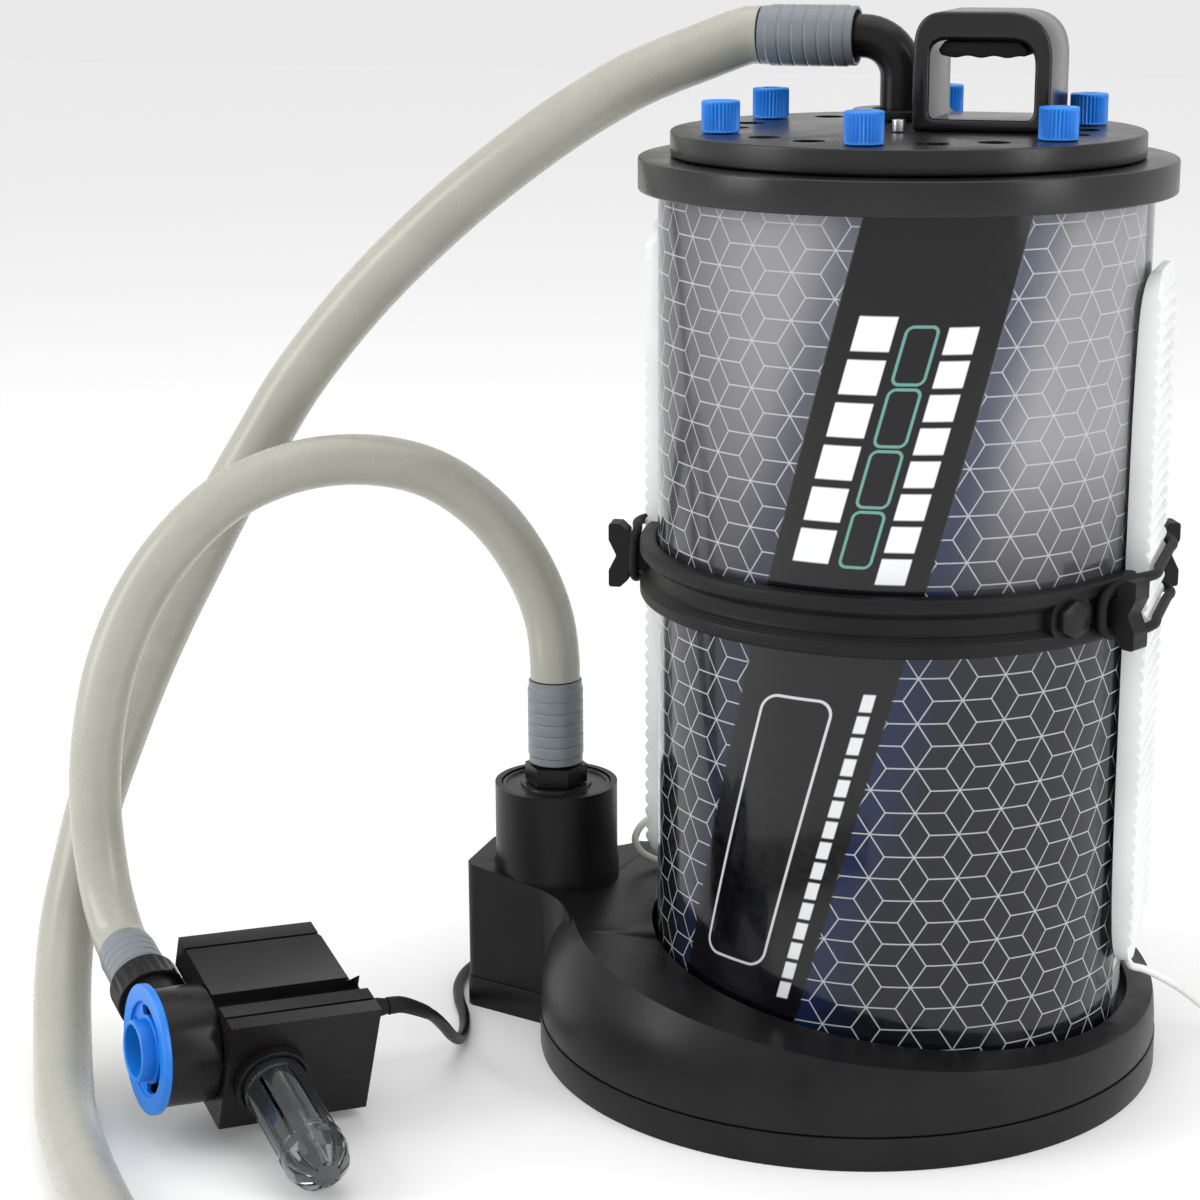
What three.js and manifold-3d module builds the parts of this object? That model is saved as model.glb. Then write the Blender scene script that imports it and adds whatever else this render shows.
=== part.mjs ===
// Upright flow-through plant reactor for an aquarium, with its feed pump, two hoses and two lamps.
//
// Millimetres, +Z up. The origin is on the axis of the clear tube, at the foot of the base, so the
// whole object stands on z = 0. The front of the label faces -Y and the water inlet is at -X.

import * as THREE from "three";
import { mergeVertices } from "three/addons/utils/BufferGeometryUtils.js";
import Module from "manifold-3d";

const wasm = await Module();
wasm.setup();

// ---- Driving dimensions ----------------------------------------------------------------------

const GAP = 0.3; // clearance between neighbours that touch in use
const ROUND = 40; // sides of the large round parts
const SMALL_ROUND = 14; // sides of knobs, barbs and bores

const TUBE = { radius: 90, wall: 4, bottom: 23.3, top: 336.2 };
const FLANGE = { radius: 98.2, opening: 62, bottom: 336.5, top: 348.5 };
const LID = { radius: 86.4, bottom: 349, top: 357.9 };
const SCREWS = { count: 6, circle: 70, head: 7, height: 11.3, shank: 2.5 };
const PLATE = { height: 12.6, radius: 121.2, centre: -17 };
const DECK = { height: 41, slope: 0.12 }; // top of the base: z = height - slope * x
const SEAT = { radius: 93, floor: 23 };
const INLET = { x: -138, radius: 24.7, top: 94.5, bore: 7.5 };
const DUCT = { width: 20, bottom: 15, top: 21 };
const LABEL = { inner: 90.3, outer: 90.8, bottom: 24, top: 335.8, halfAngle: 81 };
const RING = { rim: 97.6, groove: 93.8, bore: 90.95, web: 91.6, bottom: 184, top: 205.5, screwAt: 51 };
const RING_MID = (RING.bottom + RING.top) / 2;
const LAMP = { length: 262, half: 25, lip: 88.95, inside: 94.5, back: 96, ribs: 97.5, pitch: 5.4, taper: 85 };
const LAMPS = [
  { side: "right", angle: 90, bottom: 50, posts: [63, 117] },
  { side: "left", angle: -105, bottom: 62, posts: [-82, -128] },
];
const ELBOW = { x: -12, y: 45, radius: 8.2, height: 388.7, bend: 15, end: -28.5 };
const HANDLE = { left: 3.8, right: 53.6, front: -11, back: 30, top: 400.2, leg: 6, bar: 10 };
const PUMP = {
  corner: [-199.3, -175.5, 50.4],
  turn: [46.2, 3.9, 14.2], // degrees about Z, then Y, then X
  length: 58,
  depth: 60,
  height: 44,
  axisY: 24,
  axisZ: -22,
  chamber: 21.6,
  outletX: -10,
  inletX: 17.2,
  inletZ: -23.4,
  gland: { y: 8, z: -5, out: 6 },
};
const OUTLET_HOSE = { diameter: 22, sides: 10 };
const INLET_HOSE = { diameter: 20, sides: 10 };
const PUMP_CABLE = { diameter: 4.5, sides: 8 };
const LAMP_CABLE = { diameter: 3, sides: 8 };

const COLOURS = {
  black: { color: 0x1b1a1b, roughness: 0.5, metalness: 0 },
  blackSatin: { color: 0x232223, roughness: 0.35, metalness: 0 },
  rubber: { color: 0x151515, roughness: 0.8, metalness: 0 },
  blue: { color: 0x1c74d8, roughness: 0.4, metalness: 0 },
  clear: { color: 0xdfe6ea, roughness: 0.05, metalness: 0, transparent: true, opacity: 0.35 },
  label: { color: 0x2b2b38, roughness: 0.15, metalness: 0.1 },
  white: { color: 0xeeeeec, roughness: 0.4, metalness: 0 },
  grey: { color: 0xa9aba6, roughness: 0.4, metalness: 0 },
  smoke: { color: 0x55585a, roughness: 0.1, metalness: 0, transparent: true, opacity: 0.5 },
  hose: { color: 0xb9b8a0, roughness: 0.3, metalness: 0, transparent: true, opacity: 0.8 },
  steel: { color: 0xb9bcc0, roughness: 0.25, metalness: 1 },
  board: { color: 0x2f6b46, roughness: 0.6, metalness: 0 },
};

const part = new THREE.Group();
const rad = THREE.MathUtils.degToRad;

// ---- Solids ----------------------------------------------------------------------------------

// One closed body from any three.js geometry: shared corners are merged, triangles that have
// collapsed to a line are dropped, and the faces point outwards.
function solid(geometry) {
  const bare = geometry.clone();
  bare.deleteAttribute("normal");
  bare.deleteAttribute("uv");
  const merged = mergeVertices(bare, 1e-4);
  const index = merged.index.array;
  const kept = [];
  for (let i = 0; i < index.length; i += 3) {
    const [a, b, c] = [index[i], index[i + 1], index[i + 2]];
    if (a !== b && b !== c && c !== a) kept.push(a, b, c);
  }
  const vertProperties = new Float32Array(merged.attributes.position.array);
  const build = (list) =>
    new wasm.Manifold(new wasm.Mesh({ numProp: 3, vertProperties, triVerts: new Uint32Array(list) }));
  const made = build(kept);
  if (made.volume() >= 0) return made;
  return build(kept.reverse());
}

function toGeometry(body) {
  const mesh = body.getMesh();
  const geometry = new THREE.BufferGeometry();
  geometry.setAttribute("position", new THREE.BufferAttribute(mesh.vertProperties, mesh.numProp));
  geometry.setIndex(new THREE.BufferAttribute(mesh.triVerts, 1));
  return geometry;
}

function union(bodies) {
  return bodies.reduce((sum, body) => sum.add(body));
}

function cut(body, tools) {
  return tools.reduce((rest, tool) => rest.subtract(tool), body);
}

function add(name, body, colour, parent = part) {
  const mesh = new THREE.Mesh(toGeometry(body), new THREE.MeshStandardMaterial(COLOURS[colour]));
  mesh.name = name;
  parent.add(mesh);
  return mesh;
}

// A solid of revolution about +Z: profile points are [radius, height].
function turned(profile, sides = ROUND) {
  const points = profile.map(([r, z]) => new THREE.Vector2(r, z));
  return solid(new THREE.LatheGeometry(points, sides).rotateX(Math.PI / 2));
}

function ring(inner, outer, low, high, sides = ROUND) {
  return turned([[inner, low], [outer, low], [outer, high], [inner, high], [inner, low]], sides);
}

function disc(radius, low, high, sides = SMALL_ROUND) {
  return turned([[0, low], [radius, low], [radius, high], [0, high]], sides);
}

function box(low, high) {
  const size = high.map((value, i) => value - low[i]);
  const middle = high.map((value, i) => (value + low[i]) / 2);
  return solid(new THREE.BoxGeometry(...size).translate(...middle));
}

function outline(points) {
  return new THREE.Shape(points.map(([x, y]) => new THREE.Vector2(x, y)));
}

// A shape drawn in plan and raised from one height to another.
function raised(shape, low, high, curveSegments = 6) {
  const options = { depth: high - low, bevelEnabled: false, curveSegments };
  return solid(new THREE.ExtrudeGeometry(shape, options).translate(0, 0, low));
}

// A shape drawn as [x, z] and extruded along Y between two planes.
function sideways(shape, front, back, curveSegments = 6) {
  const options = { depth: back - front, bevelEnabled: false, curveSegments };
  const geometry = new THREE.ExtrudeGeometry(shape, options);
  return solid(geometry.rotateX(Math.PI / 2).translate(0, back, 0));
}

function roundedBox(low, high, radius) {
  const shape = new THREE.Shape();
  shape.moveTo(low[0] + radius, low[1]);
  shape.lineTo(high[0] - radius, low[1]);
  shape.absarc(high[0] - radius, low[1] + radius, radius, -Math.PI / 2, 0);
  shape.absarc(high[0] - radius, high[1] - radius, radius, 0, Math.PI / 2);
  shape.absarc(low[0] + radius, high[1] - radius, radius, Math.PI / 2, Math.PI);
  shape.absarc(low[0] + radius, low[1] + radius, radius, Math.PI, (3 * Math.PI) / 2);
  return shape;
}

function polygon(sides, radius, turn = 0) {
  const points = [];
  for (let i = 0; i < sides; i++) {
    const angle = turn + (i / sides) * Math.PI * 2;
    points.push([radius * Math.cos(angle), radius * Math.sin(angle)]);
  }
  return outline(points);
}

// A solid round tube along a smooth curve through the given points.
function alongCurve(points, diameter, sides, steps, closed = false) {
  const curve = new THREE.CatmullRomCurve3(points.map((p) => new THREE.Vector3(...p)), closed);
  const options = { steps, bevelEnabled: false, extrudePath: curve };
  return solid(new THREE.ExtrudeGeometry(polygon(sides, diameter / 2), options));
}

// A closed rubber ring of round section along a smooth closed curve.
function loopAlong(points, diameter, sides, steps) {
  const curve = new THREE.CatmullRomCurve3(points.map((p) => new THREE.Vector3(...p)), true);
  const frames = curve.computeFrenetFrames(steps, true);
  const positions = [];
  const index = [];
  for (let i = 0; i < steps; i++) {
    const centre = curve.getPointAt(i / steps);
    for (let k = 0; k < sides; k++) {
      const angle = (k / sides) * Math.PI * 2;
      const corner = centre.clone()
        .addScaledVector(frames.normals[i], (diameter / 2) * Math.cos(angle))
        .addScaledVector(frames.binormals[i], (diameter / 2) * Math.sin(angle));
      positions.push(corner.x, corner.y, corner.z);
      const next = ((i + 1) % steps) * sides;
      const [a, b] = [i * sides + k, i * sides + ((k + 1) % sides)];
      const [c, d] = [next + k, next + ((k + 1) % sides)];
      index.push(a, c, b, b, c, d);
    }
  }
  const geometry = new THREE.BufferGeometry();
  geometry.setAttribute("position", new THREE.Float32BufferAttribute(positions, 3));
  geometry.setIndex(index);
  return solid(geometry);
}

function place(body, matrix) {
  return solid(toGeometry(body).toNonIndexed().applyMatrix4(matrix));
}

function moved(body, x, y, z) {
  return place(body, new THREE.Matrix4().makeTranslation(x, y, z));
}

function turnedToX(body) {
  return place(body, new THREE.Matrix4().makeRotationY(Math.PI / 2));
}

// Angle 0 is the front (-Y), and angles grow towards +X.
function onCircle(radius, degrees) {
  return [radius * Math.sin(rad(degrees)), -radius * Math.cos(rad(degrees))];
}

// ---- Base --------------------------------------------------------------------------------------

// Plan of the inlet block: narrow at its free end, and widening into the bowl.
function blockShape(grow) {
  const shape = new THREE.Shape();
  shape.moveTo(-171 - grow, -14);
  shape.quadraticCurveTo(-171 - grow, -17.5 - grow, -167, -18.4 - grow);
  shape.lineTo(-136, -27 - grow);
  shape.quadraticCurveTo(-124, -31 - grow, -117, -46 - grow);
  shape.lineTo(-80, -60);
  shape.lineTo(-80, 60);
  shape.lineTo(-117, 46 + grow);
  shape.quadraticCurveTo(-124, 31 + grow, -136, 27 + grow);
  shape.lineTo(-167, 18.4 + grow);
  shape.quadraticCurveTo(-171 - grow, 17.5 + grow, -171 - grow, 14);
  shape.closePath();
  return shape;
}

// Everything above a plane that is parallel to the sloping deck.
function aboveDeck(drop) {
  const reach = 200;
  const points = [
    [-reach, DECK.height - drop + DECK.slope * reach],
    [reach, DECK.height - drop - DECK.slope * reach],
    [reach, reach],
    [-reach, reach],
  ];
  return sideways(outline(points), -reach, reach);
}

function dome(shrink, low) {
  const profile = [
    [0, low],
    [120.8 - shrink, low],
    [120.2 - shrink, 26],
    [116.5 - shrink, 40],
    [105 - shrink, 60],
    [0, 60],
  ];
  return moved(turned(profile), PLATE.centre, 0, 0);
}

function makeBase() {
  const low = PLATE.height + GAP;
  const deck = aboveDeck(0);
  const outer = union([dome(0, low), raised(blockShape(0), low, 75)]).subtract(deck);
  const riser = turned([[0, 40], [25.3, 40], [25.3, 60], [INLET.radius, 64],
    [INLET.radius, INLET.top - 1], [INLET.radius - 1, INLET.top], [0, INLET.top]], 24);
  const seat = disc(SEAT.radius, SEAT.floor, 80, ROUND);
  const hollow = cut(dome(4, 0), [aboveDeck(4), disc(SEAT.radius + 4, -1, 80, ROUND),
    box([-140, -16, 0], [-60, 16, 80])]);
  const well = disc(INLET.radius - 2.6, INLET.top - 5, INLET.top + 1, 24);
  const drop = disc(INLET.bore, DUCT.bottom, INLET.top, 10);
  const duct = box([INLET.x - 6, -DUCT.width / 2, DUCT.bottom], [8, DUCT.width / 2, DUCT.top]);
  const port = disc(9, DUCT.bottom, SEAT.floor + 1, 10);
  const body = union([outer, moved(riser, INLET.x, 0, 0)]);
  const tools = [seat, hollow, moved(well, INLET.x, 0, 0), moved(drop, INLET.x, 0, 0), duct, port];
  add("base_bowl", cut(body, tools), "black");
}

function makeBasePlate() {
  const round = moved(disc(PLATE.radius, 0, PLATE.height, ROUND), PLATE.centre, 0, 0);
  add("base_plate", union([round, raised(blockShape(0.6), 0, PLATE.height)]), "black");
}

// Hose fitting of the inlet: a cap that closes the riser, a hex and a ribbed barb, bored through.
function makeInletFitting() {
  const capLow = INLET.top - 5 + GAP;
  const cap = ring(INLET.bore + 1, INLET.radius - 2.9, capLow, INLET.top - 0.4, 24);
  add("inlet_cap", moved(cap, INLET.x, 0, 0), "blackSatin");
  const bore = 6;
  const barb = [[bore, capLow], [INLET.bore + 0.7, capLow], [INLET.bore + 0.7, INLET.top]];
  barb.push([8.2, INLET.top]);
  for (let i = 0; i < 3; i++) {
    const z = 104 + i * 10.5;
    barb.push([9.2, z + 1], [8.2, z + 10]);
  }
  barb.push([bore, 136], [bore, capLow]);
  const nut = raised(polygon(6, 12.6, rad(12)), INLET.top, 102).subtract(disc(bore, 90, 110, SMALL_ROUND));
  const fitting = union([turned(barb, SMALL_ROUND), nut]);
  add("inlet_fitting", moved(fitting, INLET.x, 0, 0), "blackSatin");
}

// Perforated plate that spreads the water under the plants; a skirt holds it off the floor.
function makeFlowPlate() {
  const outer = TUBE.radius - TUBE.wall - 0.5;
  const low = SEAT.floor + GAP;
  const profile = [[0, 45], [outer - 3, 45], [outer - 3, low], [outer, low], [outer, 48], [0, 48]];
  const holes = [];
  for (const [count, circle] of [[4, 26], [8, 60]]) {
    for (let i = 0; i < count; i++) {
      const [x, y] = onCircle(circle, (i / count) * 360);
      holes.push(moved(disc(5, 40, 50, 6), x, y, 0));
    }
  }
  add("flow_plate", cut(turned(profile), holes), "grey");
}

// ---- Tube, label, flange -------------------------------------------------------------------------

function makeTube() {
  add("reactor_tube", ring(TUBE.radius - TUBE.wall, TUBE.radius, TUBE.bottom, TUBE.top), "clear");
  const sleeve = ring(LABEL.inner, LABEL.outer, LABEL.bottom, LABEL.top);
  const open = onCircle(200, LABEL.halfAngle);
  const back = outline([[0, 0], open, [200, 200], [-200, 200], [-open[0], open[1]]]);
  add("label_film", sleeve.subtract(raised(back, 0, 400)), "label");
}

function screwAngles() {
  return Array.from({ length: SCREWS.count }, (_, i) => (i * 360) / SCREWS.count);
}

function makeFlange() {
  const { radius, opening, bottom, top } = FLANGE;
  const body = turned([[opening, bottom], [radius, bottom], [radius, top - 1], [radius - 1, top],
    [opening, top], [opening, bottom]]);
  const groove = ring(77, 81, top - 2, top + 1);
  const holes = screwAngles().map((angle) => {
    const [x, y] = onCircle(SCREWS.circle, angle);
    return moved(disc(SCREWS.shank + 0.5, top - 11, top + 1, 6), x, y, 0);
  });
  add("top_flange", cut(body, [groove, ...holes]), "blackSatin");
  add("lid_seal", turned([[77.4, top - 1.7], [80.6, top - 1.7], [80.6, top + 0.2],
    [77.4, top + 0.2], [77.4, top - 1.7]]), "rubber");
}

// ---- Lid and what it carries ---------------------------------------------------------------------

function makeLid() {
  const { radius, bottom, top } = LID;
  const plate = turned([[0, bottom], [radius, bottom], [radius, top - 0.8], [radius - 0.8, top],
    [0, top]]);
  const tools = [moved(disc(6.2, bottom - 1, top + 1, 12), ELBOW.x, ELBOW.y, 0)];
  tools.push(moved(disc(1.7, bottom - 1, top + 1, 6), 0.5, -17, 0));
  for (const angle of screwAngles()) {
    const [x, y] = onCircle(SCREWS.circle, angle);
    tools.push(moved(disc(SCREWS.shank + 0.5, bottom - 1, top + 1, 6), x, y, 0));
    for (const side of [20, 40]) {
      const [px, py] = onCircle(63.5, angle + side);
      tools.push(moved(disc(5, top - 2, top + 1, 8), px, py, 0));
    }
  }
  add("lid", cut(plate, tools), "blackSatin");
}

// Ribbed knob with its captive screw, backed out so far that its end is flush with the lid's
// underside.
function makeThumbScrews() {
  screwAngles().forEach((angle, i) => {
    const low = LID.top + GAP;
    const flutes = 9;
    const points = [];
    for (let k = 0; k < flutes * 2; k++) {
      const a = (k / flutes) * Math.PI;
      const r = k % 2 ? SCREWS.head - 0.55 : SCREWS.head;
      points.push([r * Math.cos(a), r * Math.sin(a)]);
    }
    const head = raised(outline(points), low, low + SCREWS.height);
    const shank = disc(SCREWS.shank, LID.bottom + GAP, low + 2, 6);
    const [x, y] = onCircle(SCREWS.circle, angle);
    add(`thumb_screw_${i + 1}`, moved(union([head, shank]), x, y, 0), "blue");
  });
}

// Broad bow of constant section with a foot plate between its legs.
function makeHandle() {
  const { left, right, front, back, top, leg, bar } = HANDLE;
  const foot = LID.top + GAP;
  const bow = new THREE.Shape();
  bow.moveTo(left, foot);
  bow.lineTo(right, foot);
  bow.lineTo(right, top - 17);
  bow.quadraticCurveTo(right, top, right - 17, top);
  bow.lineTo(left + 11, top);
  bow.quadraticCurveTo(left, top, left, top - 13);
  bow.closePath();
  const opening = new THREE.Shape();
  opening.moveTo(left + leg + 3, foot + 4.2);
  opening.lineTo(right - leg - 3, foot + 4.2);
  opening.quadraticCurveTo(right - leg, foot + 4.2, right - leg, foot + 8);
  opening.lineTo(right - leg, top - bar - 9);
  opening.quadraticCurveTo(right - leg, top - bar, right - leg - 9, top - bar);
  opening.lineTo(left + leg + 6, top - bar);
  opening.quadraticCurveTo(left + leg, top - bar, left + leg, top - bar - 6);
  opening.lineTo(left + leg, foot + 7);
  opening.quadraticCurveTo(left + leg, foot + 4.2, left + leg + 3, foot + 4.2);
  bow.holes.push(opening);
  add("lift_handle", sideways(bow, front, back, 5), "black");
  const low = top - bar - 6.2;
  const grip = [[left + leg + 4, low + 1], [left + leg + 7, low - 0.6], [left + 22, low + 0.8],
    [left + 34, low], [right - leg - 8, low + 0.6], [right - leg - 5, low + 2],
    [right - leg - 9, top - bar - GAP], [left + leg + 6, top - bar - GAP]];
  add("handle_grip", sideways(outline(grip), front + 4, back - 4), "rubber");
}

// Outlet elbow: it stands in the lid, turns over and ends in a ribbed barb that points to -X.
function makeElbow() {
  const { x, y, radius, height, bend, end } = ELBOW;
  const low = LID.bottom + 0.2;
  const points = [[x, y, LID.top + GAP], [x, y, LID.top + 10], [x, y, height - bend]];
  for (let i = 1; i < 4; i++) {
    const a = (i / 4) * (Math.PI / 2);
    points.push([x - bend * (1 - Math.cos(a)), y, height - bend + bend * Math.sin(a)]);
  }
  points.push([x - bend, y, height], [end - 2, y, height]);
  const pipe = alongCurve(points, radius * 2, 12, 12);
  const spigot = moved(disc(5.8, low, LID.top + 1, 12), x, y, 0);
  const barb = [[0, 0], [7.6, 0]];
  for (let i = 0; i < 3; i++) barb.push([9.7, 2 + i * 11], [8.6, 11 + i * 11]);
  barb.push([8, 35], [0, 35]);
  const nozzle = place(turned(barb, SMALL_ROUND), new THREE.Matrix4().makeRotationY(-Math.PI / 2));
  const bore = alongCurve([[x, y, low - 6], [x, y, low + 8], ...points.slice(1),
    [end - 20, y, height], [end - 44, y, height]], 9.2, 8, 14);
  const body = union([pipe, spigot, moved(nozzle, end - 0.5, y, height)]);
  add("outlet_elbow", body.subtract(bore), "blackSatin");
  const nut = raised(polygon(20, 18.5), LID.top + GAP, LID.top + 4).subtract(disc(radius + GAP + 0.4, 350, 370));
  add("elbow_collar", moved(nut, x, y, 0), "blackSatin");
}

// Strainer cup under the lid that keeps the plants out of the outlet.
function makeOutletScreen() {
  const top = LID.bottom - GAP;
  const cup = turned([[0, top - 30], [13.5, top - 30], [13.5, top], [8, top], [8, top - 2],
    [12, top - 2], [12, top - 28], [0, top - 28]], 16);
  const slots = [];
  for (let i = 0; i < 6; i++) {
    const slot = box([8, -2, top - 25], [24, 2, top - 5]);
    slots.push(place(slot, new THREE.Matrix4().makeRotationZ((i / 6) * Math.PI * 2)));
  }
  add("outlet_screen", moved(cut(cup, slots), ELBOW.x, ELBOW.y, 0), "grey");
}

function makeVentScrew() {
  const low = LID.top + GAP;
  const screw = union([disc(2.3, low, low + 4.4, 8), disc(1.2, LID.bottom + 0.4, low + 1, 6)]);
  const slot = box([-3, -0.4, low + 3.4], [3, 0.4, low + 6]);
  add("vent_screw", moved(screw.subtract(slot), 0.5, -17, 0), "steel");
}

// ---- Clamp ring ------------------------------------------------------------------------------------

// Post on the ring: a neck that the rubber loop goes round, and a head with two horns.
function postSolid() {
  const height = 12.5;
  const head = 110.5;
  const shape = outline([[94.5, -5.5], [102.8, -5.5], [102.8, -9.5], [106, -height], [head, -height],
    [head, -6], [107.5, 0], [head, 6], [head, height], [106, height], [102.8, 9.5], [102.8, 5.5],
    [94.5, 5.5]]);
  return moved(sideways(shape, -4.2, 4.2), 0, 0, RING_MID);
}

// Ring around the tube. Behind each lamp only a thin web of it is left, so that the lamp can lie
// against the tube; a screw in a boss closes the ring.
function makeClampRing() {
  const { rim, groove, bore, web, bottom, top, screwAt } = RING;
  const band = turned([[bore, bottom], [rim - 1, bottom], [rim, bottom + 2], [rim, bottom + 5],
    [groove, bottom + 8], [groove, top - 8], [rim, top - 5], [rim, top - 2], [rim - 1, top],
    [bore, top], [bore, bottom]]);
  const spin = (angle) => new THREE.Matrix4().makeRotationZ(rad(angle - 90));
  const gates = LAMPS.map((lamp) => {
    const gate = box([80, -28, bottom - 5], [120, 28, top + 5]);
    return place(gate, spin(lamp.angle)).subtract(disc(web, bottom - 6, top + 6, ROUND));
  });
  const posts = LAMPS.flatMap((lamp) => lamp.posts).map((angle) => place(postSolid(), spin(angle)));
  const onRing = (body) => place(moved(body, 0, 0, RING_MID), spin(screwAt));
  const boss = onRing(turnedToX(disc(9.5, 92.5, 97.4, 8)));
  const pocket = onRing(turnedToX(disc(3.8, 92, 100, 8)));
  add("clamp_ring", cut(union([cut(band, gates), boss, ...posts]), [pocket]), "black");
  const screw = union([turnedToX(disc(3.2, 92.4, 98, 8)), turnedToX(disc(7.2, 97.7, 100.4, 6))]);
  add("clamp_screw", onRing(screw), "blackSatin");
}

// Rubber loop: hooked behind the two posts of a lamp and stretched over its back.
function makeStrapLoop(lamp, index) {
  const across = LAMP.ribs + 2.3;
  const strand = 9.4;
  const reach = Math.abs(lamp.posts[0] - lamp.posts[1]) / 2;
  const points = [];
  for (const side of [1, -1]) {
    const post = (offset, r) => [r * Math.cos(rad(reach + offset)), side * r * Math.sin(rad(reach + offset))];
    const near = post(-1, 100.2);
    const far = post(4.4, 100.2);
    const levels = [strand, strand, strand, 5.5, -5.5, -strand, -strand, -strand];
    const back = (y) => [across, side * y];
    const spots = [back(14), back(25.6), near, far, far, near, back(25.6), back(14)];
    const half = spots.map((spot, i) => [...spot, RING_MID + levels[i] * side]);
    points.push(...half);
  }
  const loop = loopAlong(points, 3.8, 6, 44);
  add(`strap_loop_${index + 1}`, place(loop, new THREE.Matrix4().makeRotationZ(rad(lamp.angle - 90))), "rubber");
}

// ---- Lamps -----------------------------------------------------------------------------------------

// Side view of the lamp housing: boat-shaped lips in front, and cooling ribs along the back.
function lampProfile() {
  const { length, lip, back, ribs, pitch, taper } = LAMP;
  const points = [];
  const steps = 5;
  for (let i = 0; i <= steps; i++) {
    const t = i / steps;
    points.push([back - 1.2 - (back - 1.2 - lip) * Math.sqrt(1 - (1 - t) ** 2), taper * t * t]);
  }
  for (let i = steps; i >= 0; i--) points.push([points[i][0], length - points[i][1]]);
  const count = Math.floor((length - 18) / pitch);
  const first = (length - count * pitch) / 2;
  points.push([back, length]);
  for (let i = count; i >= 0; i--) {
    const z = first + i * pitch;
    if (i < count) points.push([ribs, z + pitch / 2]);
    points.push([back, z]);
  }
  points.push([back, 0]);
  return outline(points);
}

function endRounded(low, high, half, corner, from, to) {
  const shape = roundedBox([-half, low], [half, high], corner);
  const body = raised(shape, from, to, 3);
  // drawn as [y, z] and extruded along x
  const axes = new THREE.Matrix4().makeBasis(new THREE.Vector3(0, 1, 0), new THREE.Vector3(0, 0, 1),
    new THREE.Vector3(1, 0, 0));
  return place(body, axes);
}

function makeLamp(lamp) {
  const { length, half, inside, ribs, lip } = LAMP;
  const group = new THREE.Group();
  group.rotation.z = rad(lamp.angle - 90);
  group.position.z = lamp.bottom;
  part.add(group);
  const shell = sideways(lampProfile(), -half, half);
  const pocket = endRounded(5, length - 5, half - 1.6, 13, lip - 2, inside);
  const housing = shell.intersect(endRounded(0, length, half, 17, lip - 1, ribs + 1)).subtract(pocket);
  add(`lamp_housing_${lamp.side}`, housing, "white", group);
  const diffuser = endRounded(35, length - 35, half - 2, 4, 92, 93);
  add(`lamp_diffuser_${lamp.side}`, diffuser, "clear", group);
  const board = endRounded(36, length - 36, half - 2.4, 3, 93.3, 94.2);
  add(`led_board_${lamp.side}`, board, "board", group);
  const gland = moved(turned([[0, -3.4], [2.2, -3.4], [2.6, -GAP], [0, -GAP]], 12), 93.4, 0, 0);
  add(`lamp_gland_${lamp.side}`, gland, "white", group);
}

// ---- Feed pump -------------------------------------------------------------------------------------

const pump = new THREE.Group();
pump.position.set(...PUMP.corner);
pump.rotation.set(rad(PUMP.turn[2]), rad(PUMP.turn[1]), rad(PUMP.turn[0]), "ZYX");
part.add(pump);

// A body of revolution about the pump's long axis, from its [radius, x] profile.
function onPumpAxis(profile, sides = 24) {
  return moved(turnedToX(turned(profile, sides)), 0, PUMP.axisY, PUMP.axisZ);
}

function onPumpOutlet(profile, sides = 16) {
  const aim = new THREE.Matrix4().makeRotationX(-Math.PI / 2);
  return moved(place(turned(profile, sides), aim), PUMP.outletX, 0, PUMP.axisZ);
}

function onPumpInlet(profile, sides = 16) {
  const aim = new THREE.Matrix4().makeRotationX(Math.PI / 2);
  return moved(place(turned(profile, sides), aim), PUMP.inletX, 0, PUMP.inletZ);
}

function makePumpBody() {
  const { length, depth, height } = PUMP;
  const block = box([0, 0, -height], [length, depth, 0]);
  const tools = [
    box([-1, 14, -4.5], [length + 1, 22, 1]),
    box([-1, 51.4, -2], [length + 1, 52.6, 1]),
    box([-1, 6.4, -1.2], [length + 1, 7.6, 1]),
    box([length - 5, 22, -7], [length + 1, depth + 1, 1]),
    onPumpAxis([[0, -1], [8.6, -1], [8.6, 42], [0, 42]], 12),
    onPumpInlet([[0, -12], [6, -12], [6, 1], [0, 1]], 10),
    onPumpOutlet([[0, 41], [13.8, 41], [13.8, 62], [0, 62]]),
  ];
  add("pump_body", cut(block, tools), "blackSatin", pump);
}

function makePumpHead() {
  const { chamber } = PUMP;
  const shell = onPumpAxis([[9, -GAP], [chamber, -GAP], [chamber, -19.5], [chamber - 2.5, -19.5],
    [chamber - 2.5, -3], [9, -3], [9, -GAP]]);
  const spout = onPumpOutlet([[0, 42], [11.3, 42], [11.3, 52.6], [0, 52.6]]);
  const bore = onPumpOutlet([[0, 34], [6.4, 34], [6.4, 60], [0, 60]], 12);
  const clearance = onPumpAxis([[0, -19.5], [24.4, -19.5], [24.4, -30], [0, -30]]);
  const head = union([shell, cut(spout, [clearance]).subtract(onPumpAxis([[0, 0], [chamber - 1, 0],
    [chamber - 1, -30], [0, -30]]))]);
  add("pump_chamber", head.subtract(bore), "blackSatin", pump);
  const collar = onPumpOutlet([[6.4, 53], [13.2, 53], [13.2, 64.4], [9.6, 64.4], [9.6, 56],
    [6.4, 56], [6.4, 53]]);
  add("lock_collar", collar, "black", pump);
  const barb = [[6, 56.4], [9.2, 56.4], [9.2, 64], [8, 65]];
  for (let i = 0; i < 2; i++) barb.push([9.1, 67 + i * 9], [8, 75 + i * 9]);
  barb.push([7.6, 86], [6, 86], [6, 56.4]);
  add("pump_barb", onPumpOutlet(barb, SMALL_ROUND), "blackSatin", pump);
}

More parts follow.
